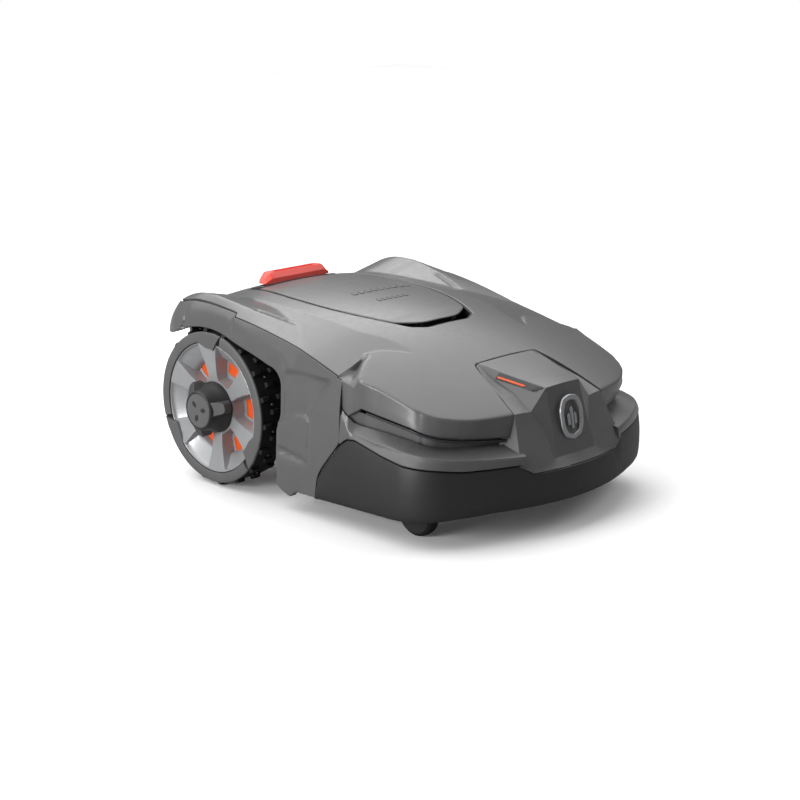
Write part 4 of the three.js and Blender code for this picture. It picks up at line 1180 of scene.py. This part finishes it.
def make_stop_button():
    low, high = node_box("stop_button")
    middle_y = (low.y + high.y) / 2
    top = high.z
    half_x = high.x - 2
    half_y = (high.y - low.y) / 2 - 0.3
    base = 287.4
    stations = [(-half_x, 0.0), (-half_x + 3, 0.3), (-half_x + 12, 0.86), (-half_x + 16, 1.0), (-47, 1.0)]
    stations += [(-45.5, 1.0), (45.5, 1.0)] + [(-x, h) for x, h in reversed(stations)]
    rows = []
    for number, (x, share) in enumerate(stations):
        height = lerp(base + 2, top, share)
        pocket = 3.2 if 5 <= number <= 6 else 0.0
        trim = (4.5, 2.0, 0.6, 0.0)[min(number, len(stations) - 1 - number, 3)]
        rows.append([Vector((x, middle_y + dy - math.copysign(trim, dy), z)) for dy, z in (
            (-half_y, base), (-half_y, lerp(base, height, 0.5)), (-half_y + 6, height - 0.8), (-4.4, height),
            (-3.9, height - pocket), (5.6, height - pocket), (6.1, height), (half_y - 0.6, height - 0.6),
            (half_y, base))])
    points, faces = capped(rows, close=True)
    mesh = bevelled("stop_bar", points, orient(points, faces, UPWARD), 24, 1.3, 3)
    finish_piece("stop_bar", mesh, RED, "stop_button", "red", ["stop_button"], sharp=40)
    stem = [(-33, -4), (33, -4), (33, 4), (-33, 4)]
    block_mesh("stop_stem", stem, low.z + 1, base + 2, 0.6, RED, "stop_button", "red",
               place=lambda p: Vector((p.x, p.y + middle_y, p.z)))


def make_bezel():
    low, high = node_box("stop_button_bezel")
    front, rear = low.y + 0.2, high.y
    half = high.x - 1
    outer = rounded([(0, front), (half - 4, front), (half, rear), (0, rear)], 5)
    hole = rounded([(0, rear - 26.8), (75, rear - 26.8), (75, rear - 1.3), (0, rear - 1.3)], 1)

    def surface(x, y):
        return Vector((x, y, crown(x, y) + 1.2))
    loops = [loop_from_half(outer, 3, roll=0.4, depth=7, way=DOWNWARD),
             loop_from_half(hole, 3, roll=0.3, depth=9, way=DOWNWARD)]
    points, faces = panel(loops, surface, 4, UPWARD)
    make_piece("stop_bezel", points, faces, DARK, "cover", "black_plastic", ["stop_button_bezel"])


# A turned piece along X: profile holds (radius, along) pairs.
def lathe(name, profile, place, material, body, slot, replaces=(), count=72, mirror=False):
    points = [place + Vector((along, y, z)) for radius, along in profile for y, z in circle(radius, count)]
    faces = orient(points, grid_faces(len(profile), count, close=True), (1, 0, 0))
    make_piece(name, points, faces, material, body, slot, replaces, 30, mirror)


# ---------------------------------------------------------------- drive wheels
AXLE = Vector((WHEEL_FACE_X, AXLE_Y, AXLE_Z))
RIM_R = 104
SPOKES = 6
SPOKE_HALF = [(30, 10.5), (46, 10.5), (60, 11.5), (78, 15), (90, 18), (98, 20.5), (104, 22)]
SPOKE_FACE = [(30, -13), (48, -11), (80, -6.5), (98, -3.6), (104, -2.6)]
POCKET_FLOOR = [(46, -31.5), (76, -31), (77.5, -23), (86, -17), (94, -11.5), (99, -8.5), (101, -6.5),
                (102.5, -3)]
RIM_ROWS = [30, 38, 44, 46.5, 47.5, 54, 62, 70, 75.6, 77, 79, 83, 88, 93, 97, 99.5, 101.2, 102.3, 103.2]
LUGS_PER_ROW = 18
LUG_ROWS = [(-13, 0.0), (-29, 0.5), (-45, 0.0)]


def wheel_point(radius, turn, along):
    return AXLE + Vector((along, radius * math.sin(turn), radius * math.cos(turn)))


# Ways out from the axle and round it at a turn of the wheel.
def wheel_ways(turn):
    return Vector((0, math.sin(turn), math.cos(turn))), Vector((0, math.cos(turn), -math.sin(turn)))


# Half of a spoke and the pocket beside it at a radius: (turn from the spoke's middle, along the axle) pairs.
def spoke_half(radius):
    far = math.pi / SPOKES
    edge = min(math.asin(min(1.0, ramp(SPOKE_HALF, radius) / radius)), far - 0.02)
    face = ramp(SPOKE_FACE, radius)
    floor = min(ramp(POCKET_FLOOR, radius), face) if radius > 46 else face
    deep = floor < face - 1.4
    foot = min(edge + 1.5 / radius, far - 0.01)
    half = [(edge * share, face) for share in (0.0, 0.35, 0.7, 0.86)]
    half += [(edge - 0.36 / radius, face - 0.3), (edge, face - 1.1 if deep else face)]
    half += [(foot, floor + 0.6 if deep else floor)]
    return half + [(lerp(foot, far, t), floor) for t in (0.18, 0.45, 0.72, 1.0)]


# The wheel's face with six spokes; between them the pocket's rows 5 to 7 stay open onto the accent disc.
def make_rim():
    points = []
    for radius in RIM_ROWS:
        half = spoke_half(radius)
        for spoke in range(SPOKES):
            middle = (spoke + 0.08) * 2 * math.pi / SPOKES
            left = [(middle - turn, along) for turn, along in reversed(half)]
            right = [(middle + turn, along) for turn, along in half[1:-1]]
            points += [wheel_point(radius, turn, along) for turn, along in left + right]
    per_spoke = 2 * len(half) - 2
    cols = per_spoke * SPOKES
    faces = []
    for i in range(len(RIM_ROWS) - 1):
        for j in range(cols):
            place = j % per_spoke
            in_pocket = place < 3 or place >= per_spoke - 3
            if in_pocket and 5 <= i < 8:
                continue
            k = (j + 1) % cols
            faces.append((i * cols + j, i * cols + k, (i + 1) * cols + k, (i + 1) * cols + j))
    faces = orient(points, faces, (1, 0, 0))
    barrel = [(103.2, -2.6), (103.8, -3.0), (103.8, -50), (98, -51), (97.6, -12)]
    accent = [(24, -34), (81, -34), (81, -31.2), (60, -32.2), (24, -31.2)]
    for side, mirror in SIDES:
        body = f"wheel_{side}"
        make_piece(f"rim_face_{side}", points, faces, SILVER, body, "silver", [f"wheel_rim_{side}"],
                   mirror=mirror, sharp=28)
        lathe(f"rim_barrel_{side}", barrel, AXLE, SILVER, body, "silver", mirror=mirror, count=96)
        lathe(f"accent_disc_{side}", accent, AXLE, ORANGE, body, "orange", [f"rim_accent_{side}"],
              mirror=mirror)


# The side ring comes in three segments; each starts with a tab that reaches in over the rim.
RING_SEGMENTS = 3
RING_GAP = 0.008
RING_STEPS = 40
RING_TAB = [(RING_GAP, -10), (RING_GAP + 0.004, -10.6), (0.15, -10), (0.36, -8), (0.42, -5), (0.5, 0.6)]


def make_ring():
    slant = 0.135 / (TYRE_R - 93)
    points, faces = [], []
    for segment in range(RING_SEGMENTS):
        start = segment * 2 * math.pi / RING_SEGMENTS - 0.23
        rest = start + 2 * math.pi / RING_SEGMENTS - RING_GAP
        places = [(start + ahead, RIM_R + reach) for ahead, reach in RING_TAB]
        last = places[-1][0]
        places += [(lerp(last, rest, (i + 1) / RING_STEPS), RIM_R + 0.6) for i in range(RING_STEPS)]
        rows = []
        for number, (turn, low) in enumerate(places):
            lean = slant * (1.0, 1.0, 0.4, 0.0)[min(number, 3)]
            over = 1.2 if low < RIM_R else 0.0
            profile = [(TYRE_R - 0.4, -5), (TYRE_R, -3.2), (TYRE_R - 0.8, -1.4), (TYRE_R - 3, -0.4),
                       (lerp(TYRE_R, low, 0.5), -0.2), (low + 2.4, -0.6), (low + 0.6, -1.4 - over), (low, -5)]
            rows.append([wheel_point(radius, turn + lean * (TYRE_R - radius), along) for radius,
                         along in profile])
        corners, sides = capped(rows, close=True)
        faces += [tuple(len(points) + corner for corner in face) for face in sides]
        points += corners
    faces = orient(points, faces, (1, 0, 0))
    for side, mirror in SIDES:
        make_piece(f"side_ring_{side}", points, faces, RING, f"wheel_{side}", "dark_grey",
                   [f"tyre_ring_{side}"],
                   mirror=mirror, sharp=30)


def make_tread():
    body = [(TYRE_R - 8, -6), (TYRE_R - 1.5, -6), (TYRE_R - 0.6, -8), (TYRE_R - 0.6, -54), (TYRE_R - 4, -56),
            (RIM_R + 1.4, -56), (RIM_R + 1.4, -6)]
    lug = [(-4.2, -8), (4.2, -8), (4.2, 8), (-4.2, 8)]
    for side, mirror in SIDES:
        lathe(f"tread_{side}", body + body[:1], AXLE, RUBBER, f"wheel_{side}", "rubber", [f"tyre_{side}"],
              mirror=mirror, count=96)
        lugs, studs = bmesh.new(), bmesh.new()
        for along, offset in LUG_ROWS:
            for i in range(LUGS_PER_ROW):
                turn = (i + offset + 0.3) * 2 * math.pi / LUGS_PER_ROW
                add_block(lugs, lug, TYRE_R - 1.5, LUG_R - 0.4, 0.76, turn, along)
                if along == LUG_ROWS[1][0]:
                    add_block(studs, circle(1.9, 10), LUG_R - 1.2, LUG_R - 0.05, 0.8, turn + 0.1, along + 6)
        # The studs take the light grey of the ring instead of the rubber. This is a painted highlight that
        # stands in for the glints on the tread.
        for name, block, material, slot in (("tread_lugs", lugs, RUBBER, "rubber"),
                                            ("tread_studs_painted_highlight", studs, RING, "rubber")):
            if mirror:
                for vert in block.verts:
                    vert.co.x = -vert.co.x
                bmesh.ops.reverse_faces(block, faces=block.faces)
            mesh = bpy.data.meshes.new(name)
            block.to_mesh(mesh)
            block.free()
            finish_piece(f"{name}_{side}", mesh, material, f"wheel_{side}", slot, sharp=25)


# A tapered block standing on the tyre at a turn of the wheel.
def add_block(block, outline, low, high, taper, turn, along):
    out, round_way = wheel_ways(turn)
    layers = []
    for radius, scale in ((low, 1.0), (high - 0.8, lerp(1, taper, 0.6)), (high, taper * 0.9)):
        layers.append([block.verts.new((AXLE + Vector((along + y * scale, 0, 0)) + out * radius
                                        + round_way * x * scale) * MM) for x, y in outline])
    count = len(outline)
    block.faces.new(list(reversed(layers[-1])))
    for lower, upper in zip(layers, layers[1:]):
        for i in range(count):
            j = (i + 1) % count
            block.faces.new((lower[i], upper[i], upper[j], lower[j]))


# Places what is drawn upright on the wheel's face; lean lowers its outer end towards the rim.
def on_wheel(turn, mirror, lean=0.0):
    out, round_way = wheel_ways(turn)

    def place(p):
        lift = p.z * (1 - lean * clamp01((p.y - 30) / 18))
        at = AXLE + Vector((lift, 0, 0)) + out * p.y + round_way * p.x
        return Vector((-at.x, at.y, at.z)) if mirror else at
    return place


# The hub: a drum, its face with a relief of three petals, and three claws that hold it on the spokes.
def make_hub_caps():
    reach = HUB_REACH
    drum = [(20, -14), (40, -14), (41, -11), (40.4, -5), (37, 1), (34, 8), (32.4, reach - 7),
            (31.4, reach - 3),
            (30.2, reach - 1.3), (28.6, reach - 0.4), (27.2, reach - 0.9)]
    face = [(27.4, reach - 2.3), (27.0, reach - 1.2), (26.2, reach - 0.75), (14, reach - 0.7),
            (0.01, reach - 0.7)]
    claw = [(-11, 27), (11, 27), (9.5, 44), (6, 48.5), (-6, 48.5), (-9.5, 44)]
    claw = rounded(claw + claw[:2], 3, 3)[1:-1]
    petal = [(0, 6.5), (3.2, 10), (3.4, 15), (0, 19), (-3.4, 15), (-3.2, 10)]
    for side, mirror in SIDES:
        body = f"wheel_{side}"
        lathe(f"hub_drum_{side}", drum, AXLE, BLACK, body, "black_plastic", [f"hub_cap_{side}"],
              mirror=mirror)
        lathe(f"hub_face_{side}", face, AXLE, RING, body, "dark_grey", mirror=mirror)
        for number in (1, 2, 3):
            turn = (number - 1) * 2 * math.pi / 3 + 0.75
            block_mesh(f"hub_claw_{side}_{number}", claw, -9, reach - 4, 2.2, DARK, body, "black_plastic",
                       on_wheel(turn, mirror, lean=0.55))
            block_mesh(f"hub_petal_{side}_{number}", petal, reach - 1.2, reach - 0.02, 0.3, BLACK, body,
                       "black_plastic", on_wheel(turn, mirror))


def make_casters():
    low, high = node_box("caster_wheel_left")
    radius = high.z / 2
    half = [(radius, 3), (radius - 0.6, 6.5), (radius - 2.2, 8.6), (31, 11.4), (27, 12), (14, 11), (13, 12.4),
            (11.5, 13.4), (4.4, 13.4)]
    profile = [(r, -along) for r, along in reversed(half)]
    profile += half + profile[:1]
    for side, mirror in SIDES:
        lathe(f"caster_tyre_{side}", profile, (low + high) / 2, CASTER_RUBBER, f"caster_wheel_{side}",
              "caster_rubber", [f"caster_wheel_{side}"], mirror=mirror, count=64)


# ---------------------------------------------------------------- frame nodes that keep their shape
def dress_frame():
    slots = {entry["node"]: entry["material_slot"] for entry in frame["record"]["subparts"]}
    for name, node in frame["nodes"].items():
        if node.hide_render:
            continue
        # The hatch pin is given the dark steel as painted shade, so that it reads as the shaded hinge
        # channel.
        material = PIN_PAINTED_SHADE if name == "hatch_pin" else SLOT_MATERIALS.get(slots.get(name), DARK)
        if not node.material_slots:
            node.data.materials.append(material)
        for slot in node.material_slots:
            slot.material = material


# ---------------------------------------------------------------- camera, floor and light
# Matched to the photo: place, turn and focal length of the camera.
CAMERA_AT = (-2.0142, -1.9761, 0.8967)
CAMERA_DOWN, CAMERA_ROUND = 15.217, -45.082
CAMERA_LENS = 82.44
FLOOR_HALF = 5.5
# Light boxes: name, place, what they face, width and length in metres, power in watts.
LIGHTS = [
    ("ceiling_box", (0, 3.4, 4.5), (0, 3.4, 0), (13, 8), 740),
    ("rear_box", (3.6, 4.4, 4.0), (0, 0.1, 0.25), (2.6, 1.0), 24),
    ("left_box", (-2.7, 0.2, 0.8), (0, 0, 0.15), (1.3, 1.0), 58),
    ("right_box", (1.7, -1.3, 1.7), (0, 0, 0.15), (1.2, 1.2), 18),
]


def grey(value):
    return (value, value, value, 1)


def make_camera():
    data = bpy.data.cameras.new("camera")
    data.lens = CAMERA_LENS
    data.sensor_width = 36
    data.clip_end = 100
    camera = bpy.data.objects.new("camera", data)
    camera.location = CAMERA_AT
    camera.rotation_euler = (math.radians(90 - CAMERA_DOWN), 0, math.radians(CAMERA_ROUND))
    bpy.context.scene.collection.objects.link(camera)
    bpy.context.scene.camera = camera


# The floor and the sky are brighter to the camera than to the light that the mower reflects.
def make_floor():
    corners = [(-FLOOR_HALF, -FLOOR_HALF, 0), (FLOOR_HALF, -FLOOR_HALF, 0), (FLOOR_HALF, FLOOR_HALF, 0),
               (-FLOOR_HALF, FLOOR_HALF, 0)]
    mesh = bpy.data.meshes.new("floor")
    mesh.from_pydata(corners, [], [(0, 1, 2, 3)])
    material, tree, shader = principled("studio_floor", Roughness=0.9)
    shader.inputs["Specular IOR Level"].default_value = 0.1
    seen = tree.nodes.new("ShaderNodeLightPath").outputs["Is Camera Ray"]
    tint(tree, shader.inputs["Base Color"], seen, grey(0.30), grey(0.93))
    glow = tree.nodes.new("ShaderNodeMath")
    glow.operation = "MULTIPLY"
    glow.inputs[1].default_value = 0.04
    tree.links.new(seen, glow.inputs[0])
    shader.inputs["Emission Color"].default_value = grey(1)
    tree.links.new(glow.outputs["Value"], shader.inputs["Emission Strength"])
    mesh.materials.append(material)
    floor = bpy.data.objects.new("floor", mesh)
    bpy.context.scene.collection.objects.link(floor)


def add_area(name, location, target, size, power):
    data = bpy.data.lights.new(name, "AREA")
    data.shape = "RECTANGLE"
    data.size, data.size_y = size
    data.energy = power
    light = bpy.data.objects.new(name, data)
    light.location = location
    light.rotation_euler = (Vector(target) - Vector(location)).to_track_quat("-Z", "Y").to_euler()
    bpy.context.scene.collection.objects.link(light)


def make_light():
    world = bpy.data.worlds.new("studio")
    world.use_nodes = True
    tree = world.node_tree
    seen = tree.nodes.new("ShaderNodeLightPath").outputs["Is Camera Ray"]
    tint(tree, tree.nodes["Background"].inputs["Color"], seen, grey(0.16), grey(1))
    bpy.context.scene.world = world
    bpy.context.scene.view_settings.view_transform = "Standard"
    for light in LIGHTS:
        add_area(*light)


# ---------------------------------------------------------------- assembly
make_camera()
make_hood()
make_hatch_cover()
make_side_panels()
make_rear_panel()
make_band()
make_nose()
make_bumper()
make_headlights()
make_nose_lamps()
make_badge()
make_hatch_marks()
make_bezel()
make_stop_button()
make_rim()
make_ring()
make_tread()
make_hub_caps()
make_casters()
dress_frame()
make_floor()
make_light()
